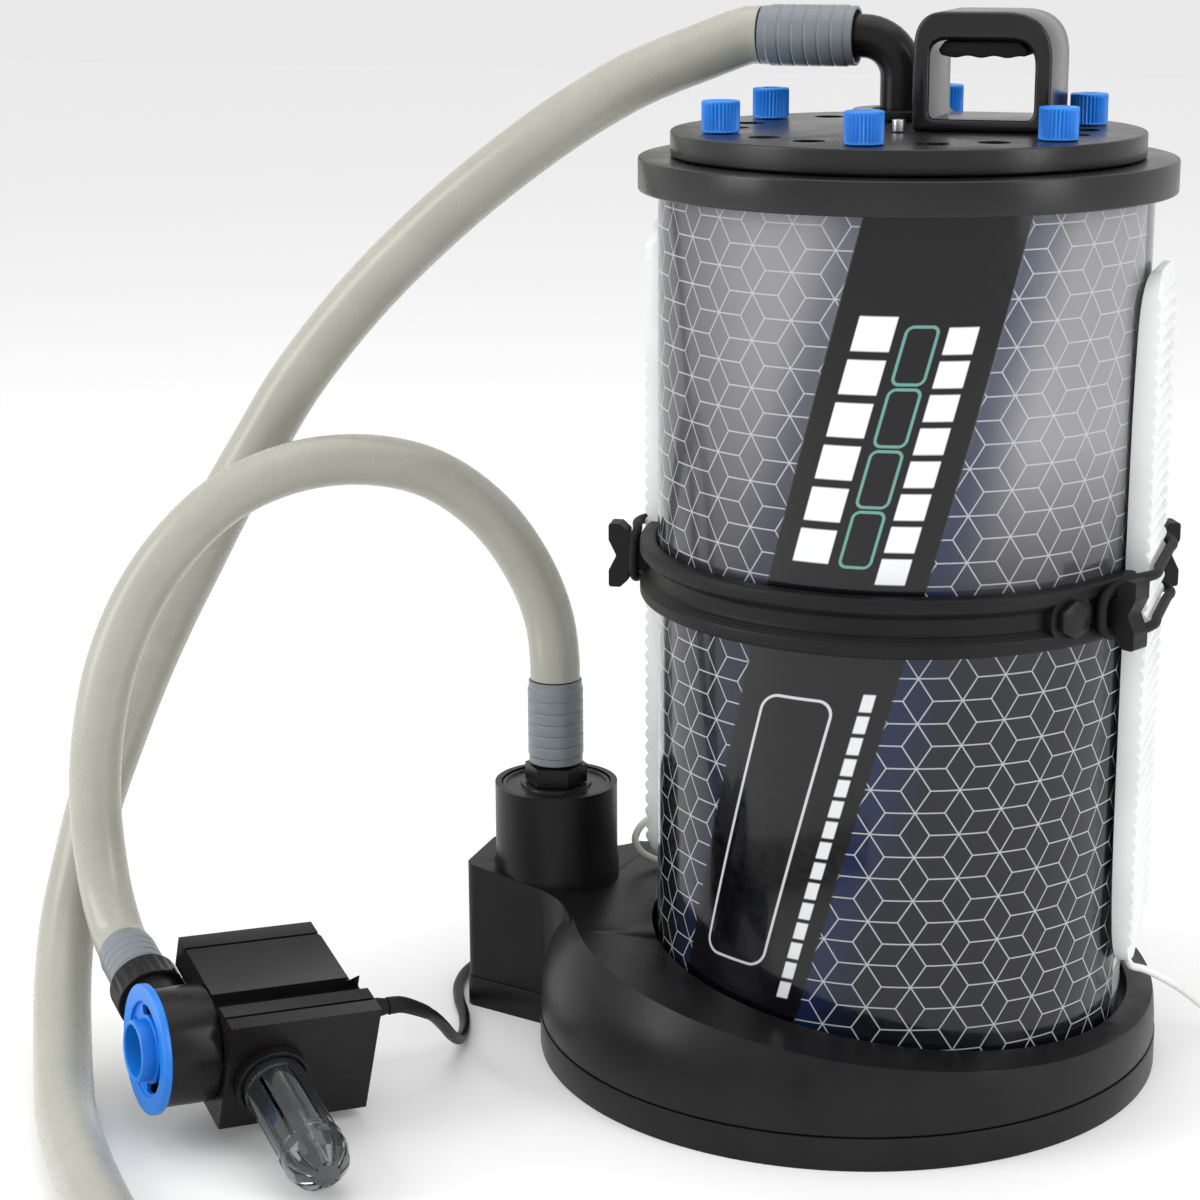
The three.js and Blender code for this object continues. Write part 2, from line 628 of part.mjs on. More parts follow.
// Blue flow ring: a flange with a recessed web, three crescent slots and a central grip tube.
function makeFlowRing() {
  const plate = onPumpAxis([[9.5, -19.8], [23.8, -19.8], [23.8, -22.6], [17.4, -22.6], [17.4, -21.2],
    [11.3, -21.2], [11.3, -27], [9.5, -27], [9.5, -19.8]]);
  const slots = [0, 1, 2].map((i) => {
    const arc = new THREE.Shape();
    arc.absarc(0, 0, 16.2, rad(20 + i * 120), rad(105 + i * 120), false);
    arc.absarc(0, 0, 12.6, rad(105 + i * 120), rad(20 + i * 120), true);
    arc.closePath();
    return moved(turnedToX(raised(arc, -30, -10, 4)), 0, PUMP.axisY, PUMP.axisZ);
  });
  add("flow_ring", cut(plate, slots), "blue", pump);
}

function makeRotor() {
  const hub = onPumpAxis([[1.5, -4.2], [7.6, -4.2], [7.6, -14], [1.5, -14], [1.5, -4.2]], 12);
  const magnet = onPumpAxis([[1.5, -5], [7.4, -5], [7.4, 38], [1.5, 38], [1.5, -5]], 12);
  const blades = [0, 1, 2, 3].map((i) => {
    const blade = box([-0.8, 3, -15.5], [0.8, 14, -4.5]);
    const turn = new THREE.Matrix4().makeRotationZ(i * (Math.PI / 2));
    return moved(turnedToX(place(blade, turn)), 0, PUMP.axisY, PUMP.axisZ);
  });
  add("impeller", union([hub, magnet, ...blades]), "white", pump);
  add("impeller_shaft", onPumpAxis([[0, -18.5], [1.2, -18.5], [1.2, 40], [0, 40]], 8), "grey", pump);
}

// Clear intake strainer: a slotted finger with a domed tip, pushed into a collar on the body.
function makeStrainer() {
  add("strainer_seat", onPumpInlet([[6.2, GAP], [14, GAP], [14, 5], [12.4, 5], [12.4, 2.6],
    [6.2, 2.6], [6.2, GAP]]), "blackSatin", pump);
  const wall = 1.4;
  const profile = [[12 - wall, 3], [12, 3], [12, 47], [10.2, 53.5], [5.5, 57.8], [0, 58.7],
    [0, 57.2], [5, 56.3], [9, 52.6], [12 - wall, 47], [12 - wall, 3]];
  const slots = [];
  for (let i = 0; i < 6; i++) {
    const slot = box([9, -1.1, 12], [14, 1.1, 46]);
    const turn = new THREE.Matrix4().makeRotationZ(rad(30 + i * 60));
    const tipSlot = box([4.5, -0.9, 50], [14, 0.9, 60]);
    slots.push(place(slot, turn), place(tipSlot, turn));
  }
  const aim = new THREE.Matrix4().makeRotationX(Math.PI / 2);
  const finger = cut(turned(profile, 16), slots);
  const body = moved(place(finger, aim), PUMP.inletX, 0, PUMP.inletZ);
  add("pump_strainer", body, "smoke", pump);
}

function makePumpGland() {
  const { y, z, out } = PUMP.gland;
  const gland = turned([[0, GAP], [3.6, GAP], [2.8, out], [0, out]], 10);
  add("cable_gland", moved(turnedToX(gland), PUMP.length, y, z), "rubber", pump);
}

// ---- Hoses, cables and what they end in ------------------------------------------------------------

// End of a hose, pushed over its barb.
function cuff(inner, outer, length) {
  return turned([[inner, 0], [outer, 0], [outer, length], [inner, length],
    [inner, 0]], SMALL_ROUND);
}

function makeHoses() {
  const { end, y, height } = ELBOW;
  const long = 37;
  const outletCuff = place(cuff(10, OUTLET_HOSE.diameter / 2 + 0.6, long),
    new THREE.Matrix4().makeRotationY(-Math.PI / 2));
  add("outlet_cuff", moved(outletCuff, end - 1, y, height), "hose");
  add("inlet_cuff", moved(cuff(9.5, 11.3, 34.2), INLET.x, 0, INLET.top + 8.6), "hose");
  const pumpCuff = place(cuff(9.4, 11, 21.5), new THREE.Matrix4().makeRotationX(-Math.PI / 2));
  add("pump_cuff", moved(pumpCuff, PUMP.outletX, 65, PUMP.axisZ), "hose", pump);
  add("outlet_hose", hoseAlong(OUTLET_ROUTE, OUTLET_HOSE), "hose");
  const pumpEnd = [93, 87.1].map((at) =>
    pump.localToWorld(new THREE.Vector3(PUMP.outletX, at, PUMP.axisZ)).toArray(),
  );
  add("inlet_hose", hoseAlong([...INLET_ROUTE, ...pumpEnd], INLET_HOSE), "hose");
}

function hoseAlong(route, hose) {
  return alongCurve(route, hose.diameter, hose.sides, route.length);
}

// Routes are centre lines, from the fitting outwards.
const OUTLET_ROUTE = [
  [-67.2, 45, 388.7], [-72, 45, 388.6], [-90, 41, 382], [-114, 34, 372], [-136, 27, 359],
  [-157, 21, 344], [-177, 16, 328], [-197, 11, 310], [-215, 7, 292], [-232, 2, 272],
  [-247, -4, 251], [-260, -10, 228], [-272, -16, 206], [-283, -23, 182], [-293, -31, 159],
  [-301, -41, 136], [-307, -52, 113], [-311, -66, 90], [-311, -81, 69], [-308, -99, 49],
  [-300, -119, 33], [-289, -140, 22], [-276, -163, 15], [-262, -186, 12], [-246, -208, 11.6],
  [-226, -233, 11.6], [-203, -259, 11.6], [-178, -284, 11.6], [-150, -307, 11.6],
  [-120, -328, 11.6], [-88, -346, 11.6], [-54, -361, 11.6], [-19, -373, 11.6], [17, -382, 11.6],
];
const INLET_ROUTE = [
  [-138, 0, 137.8], [-138, 0, 143], [-142, 5, 160], [-150, 5, 180], [-165, 0, 203],
  [-185, -10, 220], [-207, -23, 227], [-230, -38, 226], [-251, -54, 217], [-267, -68, 201],
  [-279, -81, 180], [-287, -91, 155], [-291, -97, 129], [-292.5, -99.5, 104], [-291, -101, 84],
  [-287, -105, 69.5], [-281.5, -110.4, 59.7],
];
const PUMP_CABLE_ROUTE = [
  [-154.5, -112, 38.5], [-153, -101, 31.5], [-153.5, -89, 22.5], [-155, -76, 12.5], [-157.5, -62, 5],
  [-161, -48, 2.6], [-166.5, -34, 2.5], [-174, -20, 2.5], [-180, -5, 2.5], [-182, 11, 2.5],
  [-179, 27, 2.5], [-170.5, 42, 2.5], [-159, 55, 2.5], [-148, 68, 2.5], [-138, 82, 2.5],
  [-127, 95, 2.5], [-114, 106.5, 2.5], [-98, 116, 2.5], [-80, 124, 2.5], [-61, 130.2, 2.5],
  [-41, 135, 2.5],
];
const LAMP_CABLE_ROUTES = {
  right: [[94.6, 1.2, 42.6], [98.5, 4.5, 40.6], [104, 13, 35], [111, 25, 26], [118, 36, 16],
    [125, 43.5, 7.5], [133, 47.5, 2.2], [143, 48.9, 1.7], [153, 48.7, 1.7]],
  left: [[-91.8, 24.4, 55.4], [-95.4, 24.8, 54.5], [-99.5, 24, 54.9], [-104.2, 21.8, 57],
    [-108.4, 19.5, 60.5], [-110.6, 19, 65.5], [-109.3, 21.6, 70.2], [-106.1, 27.7, 73],
    [-102.6, 36, 75.2], [-99, 48, 74.5], [-98, 62, 69], [-99, 79, 60], [-103.5, 96, 45],
    [-108, 110, 26], [-110.5, 122, 10], [-111, 134, 2.6], [-111, 142, 1.8], [-111, 150, 1.8]],
};
const COILS = {
  pump: { centre: [-30, 168], middle: 25, width: 13.5, height: 9.2 },
  right: { centre: [166, 68], middle: 17, width: 9, height: 6.2 },
  left: { centre: [-91, 162], middle: 17, width: 9, height: 6.2 },
};

// Cable wound up and laid flat in two layers of three turns: one ring of chamfered section.
function coilSolid({ centre, middle, width, height }) {
  const [inner, outer] = [middle - width / 2, middle + width / 2];
  const chamfer = height * 0.22;
  const top = GAP + height;
  const profile = [[inner, GAP + chamfer], [inner + chamfer, GAP], [outer - chamfer, GAP],
    [outer, GAP + chamfer], [outer, top - chamfer], [outer - chamfer, top], [inner + chamfer, top],
    [inner, top - chamfer], [inner, GAP + chamfer]];
  return moved(turned(profile, 16), centre[0], centre[1], 0);
}

function makeCables() {
  const { y, z, out } = PUMP.gland;
  const leaving = [out + GAP, out + 5].map((beyond) =>
    pump.localToWorld(new THREE.Vector3(PUMP.length + beyond, y, z)).toArray(),
  );
  const pumpRoute = [...leaving, ...PUMP_CABLE_ROUTE];
  add("pump_cable", alongCurve(pumpRoute, PUMP_CABLE.diameter, PUMP_CABLE.sides, 28), "rubber");
  add("pump_cable_coil", coilSolid(COILS.pump), "rubber");
  for (const lamp of LAMPS) {
    const leavingLamp = [3.7, 5].map((below) => {
      const point = new THREE.Vector3(93.4, 0, lamp.bottom - below);
      return point.applyAxisAngle(new THREE.Vector3(0, 0, 1), rad(lamp.angle - 90)).toArray();
    });
    const route = [...leavingLamp, ...LAMP_CABLE_ROUTES[lamp.side]];
    const steps = lamp.side === "left" ? 34 : 12;
    add(`lamp_cable_${lamp.side}`, alongCurve(route, LAMP_CABLE.diameter, LAMP_CABLE.sides, steps), "white");
    add(`lamp_coil_${lamp.side}`, coilSolid(COILS[lamp.side]), "white");
  }
}

// Two-pin mains plug, on the cable where it leaves the outer turn of its coil.
function makeMainsPlug() {
  const { centre, middle } = COILS.pump;
  const x = centre[0] + 21;
  const y = centre[1] - middle - PUMP_CABLE.diameter;
  const shape = outline([[x, y - 4], [x + 8, y - 7], [x + 14, y - 17], [x + 40, y - 17],
    [x + 40, y + 17], [x + 14, y + 17], [x + 8, y + 7], [x, y + 4]]);
  add("mains_plug", raised(shape, GAP, 14), "black");
  [-9.5, 9.5].forEach((offset, i) => {
    const pin = turnedToX(turned([[0, 0], [2, 0], [2, 18], [1.2, 19], [0, 19]], 8));
    add(`plug_pin_${i + 1}`, moved(pin, x + 40 + GAP, y + offset, 7.2), "steel");
  });
}

// Round low-voltage connectors, each on the outer turn of its coil.
function makeLampConnectors() {
  const profile = [[0, 0], [2.2, 0], [2.6, 10], [5, 14], [5, 30], [4.2, 31], [4.2, 36], [0, 36]];
  const outer = COILS.right.middle + LAMP_CABLE.diameter;
  const beyond = 13;
  const aim = new THREE.Matrix4().makeRotationX(-Math.PI / 2);
  const body = place(turned(profile, 10), aim);
  const [rightX, rightY] = COILS.right.centre;
  const [leftX, leftY] = COILS.left.centre;
  add("lamp_connector_right", moved(body, rightX + outer, rightY + beyond, 5.3), "black");
  add("lamp_connector_left", moved(body, leftX - outer, leftY + beyond, 5.3), "black");
}

makeBase();
makeBasePlate();
makeInletFitting();
makeFlowPlate();
makeTube();
makeFlange();
makeLid();
makeThumbScrews();
makeHandle();
makeElbow();
makeOutletScreen();
makeVentScrew();
makeClampRing();
LAMPS.forEach(makeStrapLoop);
LAMPS.forEach(makeLamp);
makePumpBody();
makePumpHead();
makeFlowRing();
makeRotor();
makeStrainer();
makePumpGland();
part.updateMatrixWorld(true);
makeHoses();
makeCables();
makeMainsPlug();
makeLampConnectors();

export default part;
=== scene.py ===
"""Looks of an upright flow-through plant reactor with its feed pump, hoses, cables and lamps.

Shapes are worked out in the CAD frame in millimetres and become metres as each piece is made.
Angles round the tube are measured from its front (-Y) towards +X.
"""

import math

import bmesh
import bpy
from mathutils import Matrix, Vector


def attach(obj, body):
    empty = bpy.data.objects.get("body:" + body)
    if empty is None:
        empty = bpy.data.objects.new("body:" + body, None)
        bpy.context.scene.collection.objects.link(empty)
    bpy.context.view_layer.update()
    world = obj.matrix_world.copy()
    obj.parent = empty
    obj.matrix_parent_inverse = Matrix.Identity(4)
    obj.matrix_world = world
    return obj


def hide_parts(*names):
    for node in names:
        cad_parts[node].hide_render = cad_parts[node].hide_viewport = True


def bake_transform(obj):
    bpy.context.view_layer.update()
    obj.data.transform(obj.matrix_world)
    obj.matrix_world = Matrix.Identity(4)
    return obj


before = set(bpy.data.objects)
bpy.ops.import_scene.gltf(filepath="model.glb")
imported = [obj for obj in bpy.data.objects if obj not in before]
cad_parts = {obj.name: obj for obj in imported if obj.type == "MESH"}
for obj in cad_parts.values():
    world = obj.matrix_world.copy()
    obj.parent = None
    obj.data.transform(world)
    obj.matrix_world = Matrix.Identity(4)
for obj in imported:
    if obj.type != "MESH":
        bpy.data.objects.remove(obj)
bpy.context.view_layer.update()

MM = 0.001
ROUND = 160  # steps round the large turned parts
SMALL = 40  # steps round knobs, barbs and small fittings
SLIGHT_TURN = 0.2  # radians: a corner that turns less than this isn't rounded
SHARP_EDGE = 35  # degrees: an edge that turns more than this isn't shaded smooth
UP = Vector((0, 0, 1))
AXIS_TO_X = Matrix.Rotation(math.pi / 2, 4, "Y")
AXIS_TO_MINUS_X = Matrix.Rotation(-math.pi / 2, 4, "Y")
AXIS_TO_Y = Matrix.Rotation(-math.pi / 2, 4, "X")
AXIS_TO_MINUS_Y = Matrix.Rotation(math.pi / 2, 4, "X")
SIDEWAYS = Matrix.Rotation(math.pi / 2, 4, "X")  # an outline drawn as [x, z], extruded along Y
OUTWARDS = Matrix(((0, 0, 1, 0), (1, 0, 0, 0), (0, 1, 0, 0), (0, 0, 0, 1)))  # drawn as [y, z]

# The pump's own frame: its corner, turned about Z, then Y, then X.
PUMP = (
    Matrix.Translation((-199.3, -175.5, 50.4))
    @ Matrix.Rotation(math.radians(46.2), 4, "Z")
    @ Matrix.Rotation(math.radians(3.9), 4, "Y")
    @ Matrix.Rotation(math.radians(14.2), 4, "X")
)
PUMP_LENGTH, PUMP_DEPTH, PUMP_HEIGHT = 58, 60, 44
SPOUT_X, SHAFT_Y, SHAFT_Z = -10, 24, -22  # the spout stands on the cup, past the body's end
PUMP_GLAND = (PUMP_LENGTH, 8, -5)
PUMP_AXIS = PUMP @ Matrix.Translation((0, SHAFT_Y, SHAFT_Z)) @ AXIS_TO_X
PUMP_OUTLET = PUMP @ Matrix.Translation((SPOUT_X, 0, SHAFT_Z)) @ AXIS_TO_Y
PUMP_INLET = PUMP @ Matrix.Translation((17.2, 0, -23.4)) @ AXIS_TO_MINUS_Y

# Places and sizes that several parts share.
BASE_X = -17  # the base's round part is centred here
BASE_TOP, PLATE_TOP = 12.9, 12.6
INLET_X = -138
CAP_BOTTOM = 89.8
TUBE_INNER, TUBE_OUTER, LABEL_RADIUS = 86, 90, 90.8
FLANGE_BOTTOM, FLANGE_TOP = 336.5, 348.5
LID_BOTTOM, LID_TOP, ON_LID = 349, 357.9, 358.2
SCREW_CIRCLE = 70
SCREW_COUNT = 6
ELBOW = Vector((-12, 45, 388.7))
VENT = (0.5, -17)
RING_LOW, RING_HIGH = 184, 205.5
RING_MID = (RING_LOW + RING_HIGH) / 2
LAMPS = {
    "right": {"angle": 90, "bottom": 50, "posts": (63, 117)},
    "left": {"angle": -105, "bottom": 62, "posts": (-82, -128)},
}
LAMP_CABLE_RADIUS = 93.4  # where a lamp's cable leaves it, from the tube's axis


def shifted(x, y, z):
    return Matrix.Translation((x, y, z))


def spun(degrees):
    return Matrix.Rotation(math.radians(degrees), 4, "Z")


def on_circle(radius, degrees):
    a = math.radians(degrees)
    return radius * math.sin(a), -radius * math.cos(a)


def hexagon(radius, start=0):
    angles = [math.radians(start + 60 * k) for k in range(6)]
    return [(radius * math.cos(a), radius * math.sin(a)) for a in angles]


# ---- Meshes ----


def raw(verts, faces, place=None):
    """A loose object in millimetres, to be joined, cut or finished."""
    mesh = bpy.data.meshes.new("raw")
    placed = [tuple(place @ Vector(v)) if place else tuple(v) for v in verts]
    mesh.from_pydata(placed, [], faces)
    body = bpy.data.objects.new("raw", mesh)
    bpy.context.scene.collection.objects.link(body)
    mend = bmesh.new()
    mend.from_mesh(mesh)
    bmesh.ops.recalc_face_normals(mend, faces=mend.faces)
    mend.to_mesh(mesh)
    mend.free()
    return body


def fillet(points, radius, closed=True, steps=4):
    """Rounds each corner of a line, but by no more than its shorter side allows."""
    most = 0.45  # the share of a side that the rounding at one of its ends may take
    count = len(points)
    done = []
    for i, point in enumerate(points):
        here = Vector(point)
        if not closed and i in (0, count - 1):
            done.append(tuple(here))
            continue
        before = Vector(points[i - 1]) - here
        after = Vector(points[(i + 1) % count]) - here
        turn = math.pi - before.angle(after, 0)
        if turn < SLIGHT_TURN:
            done.append(tuple(here))
            continue
        reach = min(radius * math.tan(turn / 2), before.length * most, after.length * most)
        start = here + before.normalized() * reach
        end = here + after.normalized() * reach
        for k in range(steps + 1):
            t = k / steps
            done.append(tuple(start * (1 - t) ** 2 + here * 2 * t * (1 - t) + end * t * t))
    return done


def lathe(profile, place=None, steps=ROUND, soften=0.5, wave=None):
    """Turns a closed [radius, height] profile about +Z. A profile that meets the axis is solid.
    wave(angle, height) scales the radius, for ribs and flutes."""
    on_axis = profile[0][0] == 0
    line = fillet(profile, soften, closed=not on_axis) if soften else profile
    verts, rows = [], []
    for r, z in line:
        if r < 1e-6:
            rows.append([len(verts)])
            verts.append((0, 0, z))
            continue
        rows.append(list(range(len(verts), len(verts) + steps)))
        for k in range(steps):
            a = 2 * math.pi * k / steps
            swell = wave(a, z) if wave else 1
            verts.append((r * swell * math.cos(a), r * swell * math.sin(a), z))
    faces = []
    pairs = zip(rows, rows[1:]) if on_axis else zip(rows, rows[1:] + rows[:1])
    for low, high in pairs:
        if len(low) == 1 and len(high) == 1:
            continue
        for k in range(steps):
            n = (k + 1) % steps
            if len(low) == 1:
                faces.append((low[0], high[n], high[k]))
            elif len(high) == 1:
                faces.append((low[k], low[n], high[0]))
            else:
                faces.append((low[k], low[n], high[n], high[k]))
    return raw(verts, faces, place)


def prism(outline, low, high, place=None):
    """A closed [x, y] outline raised from low to high."""
    count = len(outline)
    verts = [(x, y, low) for x, y in outline] + [(x, y, high) for x, y in outline]
    sides = [(i, (i + 1) % count, (i + 1) % count + count, i + count) for i in range(count)]
    return raw(verts, [tuple(range(count))[::-1], tuple(range(count, 2 * count)), *sides], place)


def block(low, high, place=None):
    outline = [(low[0], low[1]), (high[0], low[1]), (high[0], high[1]), (low[0], high[1])]
    return prism(outline, low[2], high[2], place)


def rod(radius, low, high, place=None, steps=SMALL):
    return lathe([(0, low), (radius, low), (radius, high), (0, high)], place, steps, soften=0)


def combine(body, others, operation):
    for other in others:
        step = body.modifiers.new("step", "BOOLEAN")
        step.operation = operation
        step.solver = "EXACT"
        step.object = other
    bake(body)
    for other in others:
        bpy.data.objects.remove(other)
    return body


def join(body, *others):
    return combine(body, others, "UNION")


def cut(body, *tools):
    return combine(body, tools, "DIFFERENCE")


def bake(body):
    """Applies the object's modifiers."""
    seen = body.evaluated_get(bpy.context.evaluated_depsgraph_get())
    mesh = bpy.data.meshes.new_from_object(seen)
    body.modifiers.clear()
    body.data = mesh


def soften(body, width, segments=3, angle=32):
    step = body.modifiers.new("edges", "BEVEL")
    step.width = width
    step.segments = segments
    step.limit_method = "ANGLE"
    step.angle_limit = math.radians(angle)
    step.harden_normals = False
    bake(body)
    return body


def smooth_line(route, gap, closed=False):
    """Points about gap apart on a centripetal Catmull-Rom curve through the route."""
    points = [Vector(p) for p in route]
    ends = [points[0] * 2 - points[1], *points, points[-1] * 2 - points[-2]]
    if closed:
        ends = [points[-1], *points, points[0], points[1]]
    line = []
    for a, b, c, d in zip(ends, ends[1:], ends[2:], ends[3:]):
        t1 = (b - a).length ** 0.5
        t2 = t1 + (c - b).length ** 0.5
        t3 = t2 + (d - c).length ** 0.5
        steps = max(1, round((c - b).length / gap))
        for k in range(steps):
            t = t1 + (t2 - t1) * k / steps
            ab = a * ((t1 - t) / t1) + b * (t / t1)
            bc = b * ((t2 - t) / (t2 - t1)) + c * ((t - t1) / (t2 - t1))
            cd = c * ((t3 - t) / (t3 - t2)) + d * ((t - t2) / (t3 - t2))
            abc = ab * ((t2 - t) / t2) + bc * (t / t2)
            bcd = bc * ((t3 - t) / (t3 - t1)) + cd * ((t - t1) / (t3 - t1))
            line.append(abc * ((t2 - t) / (t2 - t1)) + bcd * ((t - t1) / (t2 - t1)))
    return line if closed else [*line, points[-1]]


def ring_frames(line, closed):
    """Each point of a line with two directions square to it, which turn as little as they can."""
    count = len(line)
    frames, side = [], None
    for i, point in enumerate(line):
        before = line[i - 1] if i or closed else point
        after = line[(i + 1) % count] if i < count - 1 or closed else point
        along = (after - before).normalized()
        if side is None:
            side = along.orthogonal().normalized()
            if closed and abs(along.z) < 0.9:
                side = along.cross(UP).normalized()
        side = (side - along * side.dot(along)).normalized()
        frames.append((point, side.copy(), along.cross(side)))
    return frames


def tube(line, radius, sides=16, wall=None, closed=False):
    """A round tube along a line; with a wall it is hollow. radius is a number, or a function of
    the share of the length that is passed."""
    count = len(line)
    frames = ring_frames(line, closed)
    drops = [0] if wall is None else [0, wall]
    verts, faces = [], []
    for drop in drops:
        for i, (point, u, v) in enumerate(frames):
            r = (radius(i / (count - 1)) if callable(radius) else radius) - drop
            for k in range(sides):
                a = 2 * math.pi * k / sides
                verts.append(point + u * (r * math.cos(a)) + v * (r * math.sin(a)))
    size = count * sides
    for layer in range(len(drops)):
        for i in range(count if closed else count - 1):
            low = layer * size + i * sides
            high = layer * size + (i + 1) % count * sides
            for k in range(sides):
                m = (k + 1) % sides
                face = (low + k, low + m, high + m, high + k)
                faces.append(face if layer == 0 else face[::-1])
    if not closed:
        for i, turn in ((0, 1), (count - 1, -1)):
            rim = [i * sides + k for k in range(sides)]
            if wall is None:
                faces.append(tuple(rim[::-turn]))
                continue
            for k in range(sides):
                m = (k + 1) % sides
                faces.append((rim[k], rim[m], size + rim[m], size + rim[k]))
    return raw(verts, faces)


def piece(body, name, material, hides=(), rides="reactor"):
    """Finishes a loose object: metres, shading, material, and its place in the frame."""
    body.name = name
    body.data.name = name
    body.data.transform(Matrix.Scale(MM, 4))
    body.data.shade_smooth()
    body.data.set_sharp_from_angle(angle=math.radians(SHARP_EDGE))
    body.data.materials.clear()
    body.data.materials.append(material)
    if rides:
        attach(body, rides)
    if hides:
        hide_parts(*hides)
    return body


def part(body, node, material, rides="reactor"):
    """A piece that takes the place of one CAD node, and is named after it."""
    return piece(body, f"{node}_body", material, [node], rides)


def repaint(name, material):
    """Gives a CAD node that is carried over its finished material."""
    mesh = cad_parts[name].data
    mesh.materials.clear()
    mesh.materials.append(material)


# ---- Materials ----


def linear(red, green, blue):
    """A screen colour, 0 to 255, as the renderer's own values."""
    def one(value):
        share = value / 255
        return share / 12.92 if share <= 0.04045 else ((share + 0.055) / 1.055) ** 2.4

    return one(red), one(green), one(blue), 1.0


class Term:
    """A number that varies over a surface. Arithmetic on terms adds Math nodes."""

    def __init__(self, tree, socket):
        self.tree = tree
        self.socket = socket

    def math(self, operation, *others):
        node = self.tree.nodes.new("ShaderNodeMath")
        node.operation = operation
        self.tree.links.new(self.socket, node.inputs[0])
        for i, other in enumerate(others, 1):
            if isinstance(other, Term):
                self.tree.links.new(other.socket, node.inputs[i])
            else:
                node.inputs[i].default_value = other
        return Term(self.tree, node.outputs[0])

    def __add__(self, other):
        return self.math("ADD", other)

    def __sub__(self, other):
        return self.math("SUBTRACT", other)

    def __mul__(self, other):
        return self.math("MULTIPLY", other)

    def __abs__(self):
        return self.math("ABSOLUTE")

    def least(self, other):
        return self.math("MINIMUM", other)

    def most(self, other):
        return self.math("MAXIMUM", other)

    def ramp(self, low, high, start=0.0, end=1.0):
        node = self.tree.nodes.new("ShaderNodeMapRange")
        node.interpolation_type = "SMOOTHSTEP"
        self.tree.links.new(self.socket, node.inputs["Value"])
        for name, value in (("From Min", low), ("From Max", high), ("To Min", start), ("To Max", end)):
            node.inputs[name].default_value = value
        return Term(self.tree, node.outputs[0])


def blank(name):
    material = bpy.data.materials.new(name)
    material.use_nodes = True
    tree = material.node_tree
    return material, tree, tree.nodes["Principled BSDF"]


def position(tree):
    """The point on the piece as a socket in metres, and its three coordinates in millimetres."""
    where = tree.nodes.new("ShaderNodeTexCoord").outputs["Object"]
    parts = tree.nodes.new("ShaderNodeSeparateXYZ")
    tree.links.new(where, parts.inputs[0])
    return where, [Term(tree, parts.outputs[i]) * (1 / MM) for i in range(3)]


def noise(tree, where, scale, detail=4.0):
    node = tree.nodes.new("ShaderNodeTexNoise")
    node.inputs["Scale"].default_value = scale
    node.inputs["Detail"].default_value = detail
    tree.links.new(where, node.inputs["Vector"])
    return Term(tree, node.outputs["Fac"])


def mixed(tree, share, first, second):
    """Socket of a colour between two others, each a colour or a socket."""
    node = tree.nodes.new("ShaderNodeMix")
    node.data_type = "RGBA"
    tree.links.new(share.socket, node.inputs["Factor"])
    for name, value in (("A", first), ("B", second)):
        socket = next(s for s in node.inputs if s.name == name and s.type == "RGBA")
        if isinstance(value, tuple):
            socket.default_value = value
        else:
            tree.links.new(value, socket)
    return next(s for s in node.outputs if s.type == "RGBA")


def bumped(tree, shader, height, strength, distance=0.0002):
    node = tree.nodes.new("ShaderNodeBump")
    node.inputs["Strength"].default_value = strength
    node.inputs["Distance"].default_value = distance
    tree.links.new(height.socket, node.inputs["Height"])
    tree.links.new(node.outputs[0], shader.inputs["Normal"])


def two_tones(tree, shader, share, colour, second):
    tones = mixed(tree, share, linear(*colour), linear(*second))
    tree.links.new(tones, shader.inputs["Base Color"])


def moulded(name, colour, second, rough, grain=900.0, bump=0.12, layers=None, **sockets):
    """Plastic or rubber: two close tones, uneven gloss and a fine grain; layers is the pitch in
    millimetres of printed layers or tool marks across Z."""
    material, tree, shader = blank(name)
    where, (_, _, z) = position(tree)
    cloud = noise(tree, where, 35.0)
    fine = noise(tree, where, grain, 3.0)
    two_tones(tree, shader, cloud.ramp(0.35, 0.65), colour, second)
    gloss = (cloud * 0.6 + fine * 0.4).ramp(0.3, 0.7, *rough)
    tree.links.new(gloss.socket, shader.inputs["Roughness"])
    height = fine
    if layers:
        height = fine * 0.35 + (z * (2 * math.pi / layers)).math("SINE") * 0.5
    bumped(tree, shader, height, bump)
    for key, value in sockets.items():
        shader.inputs[key.replace("_", " ")].default_value = value
    return material


def black(name, colour, second, rough, grain, bump, layers=None):
    """Black plastic or rubber, with a low specular level that keeps it black in soft light."""
    return moulded(name, colour, second, rough, grain, bump, layers, Specular_IOR_Level=0.22)


def turned(name, colour, second, rough, pitch=0.5):
    """Machined plastic: tool marks in rings about the tube's axis, pitch millimetres apart."""
    material, tree, shader = blank(name)
    where, (x, y, _) = position(tree)
    cloud = noise(tree, where, 30.0)
    fine = noise(tree, where, 700.0, 3.0)
    two_tones(tree, shader, cloud.ramp(0.3, 0.7), colour, second)
    gloss = (cloud * 0.7 + fine * 0.3).ramp(0.3, 0.7, *rough)
    tree.links.new(gloss.socket, shader.inputs["Roughness"])
    radius = (x * x + y * y).math("SQRT")
    rings = (radius * (2 * math.pi / pitch)).math("SINE") * 0.3
    bumped(tree, shader, fine * 0.4 + rings, 0.1, 0.0001)
    shader.inputs["Specular IOR Level"].default_value = 0.4
    return material


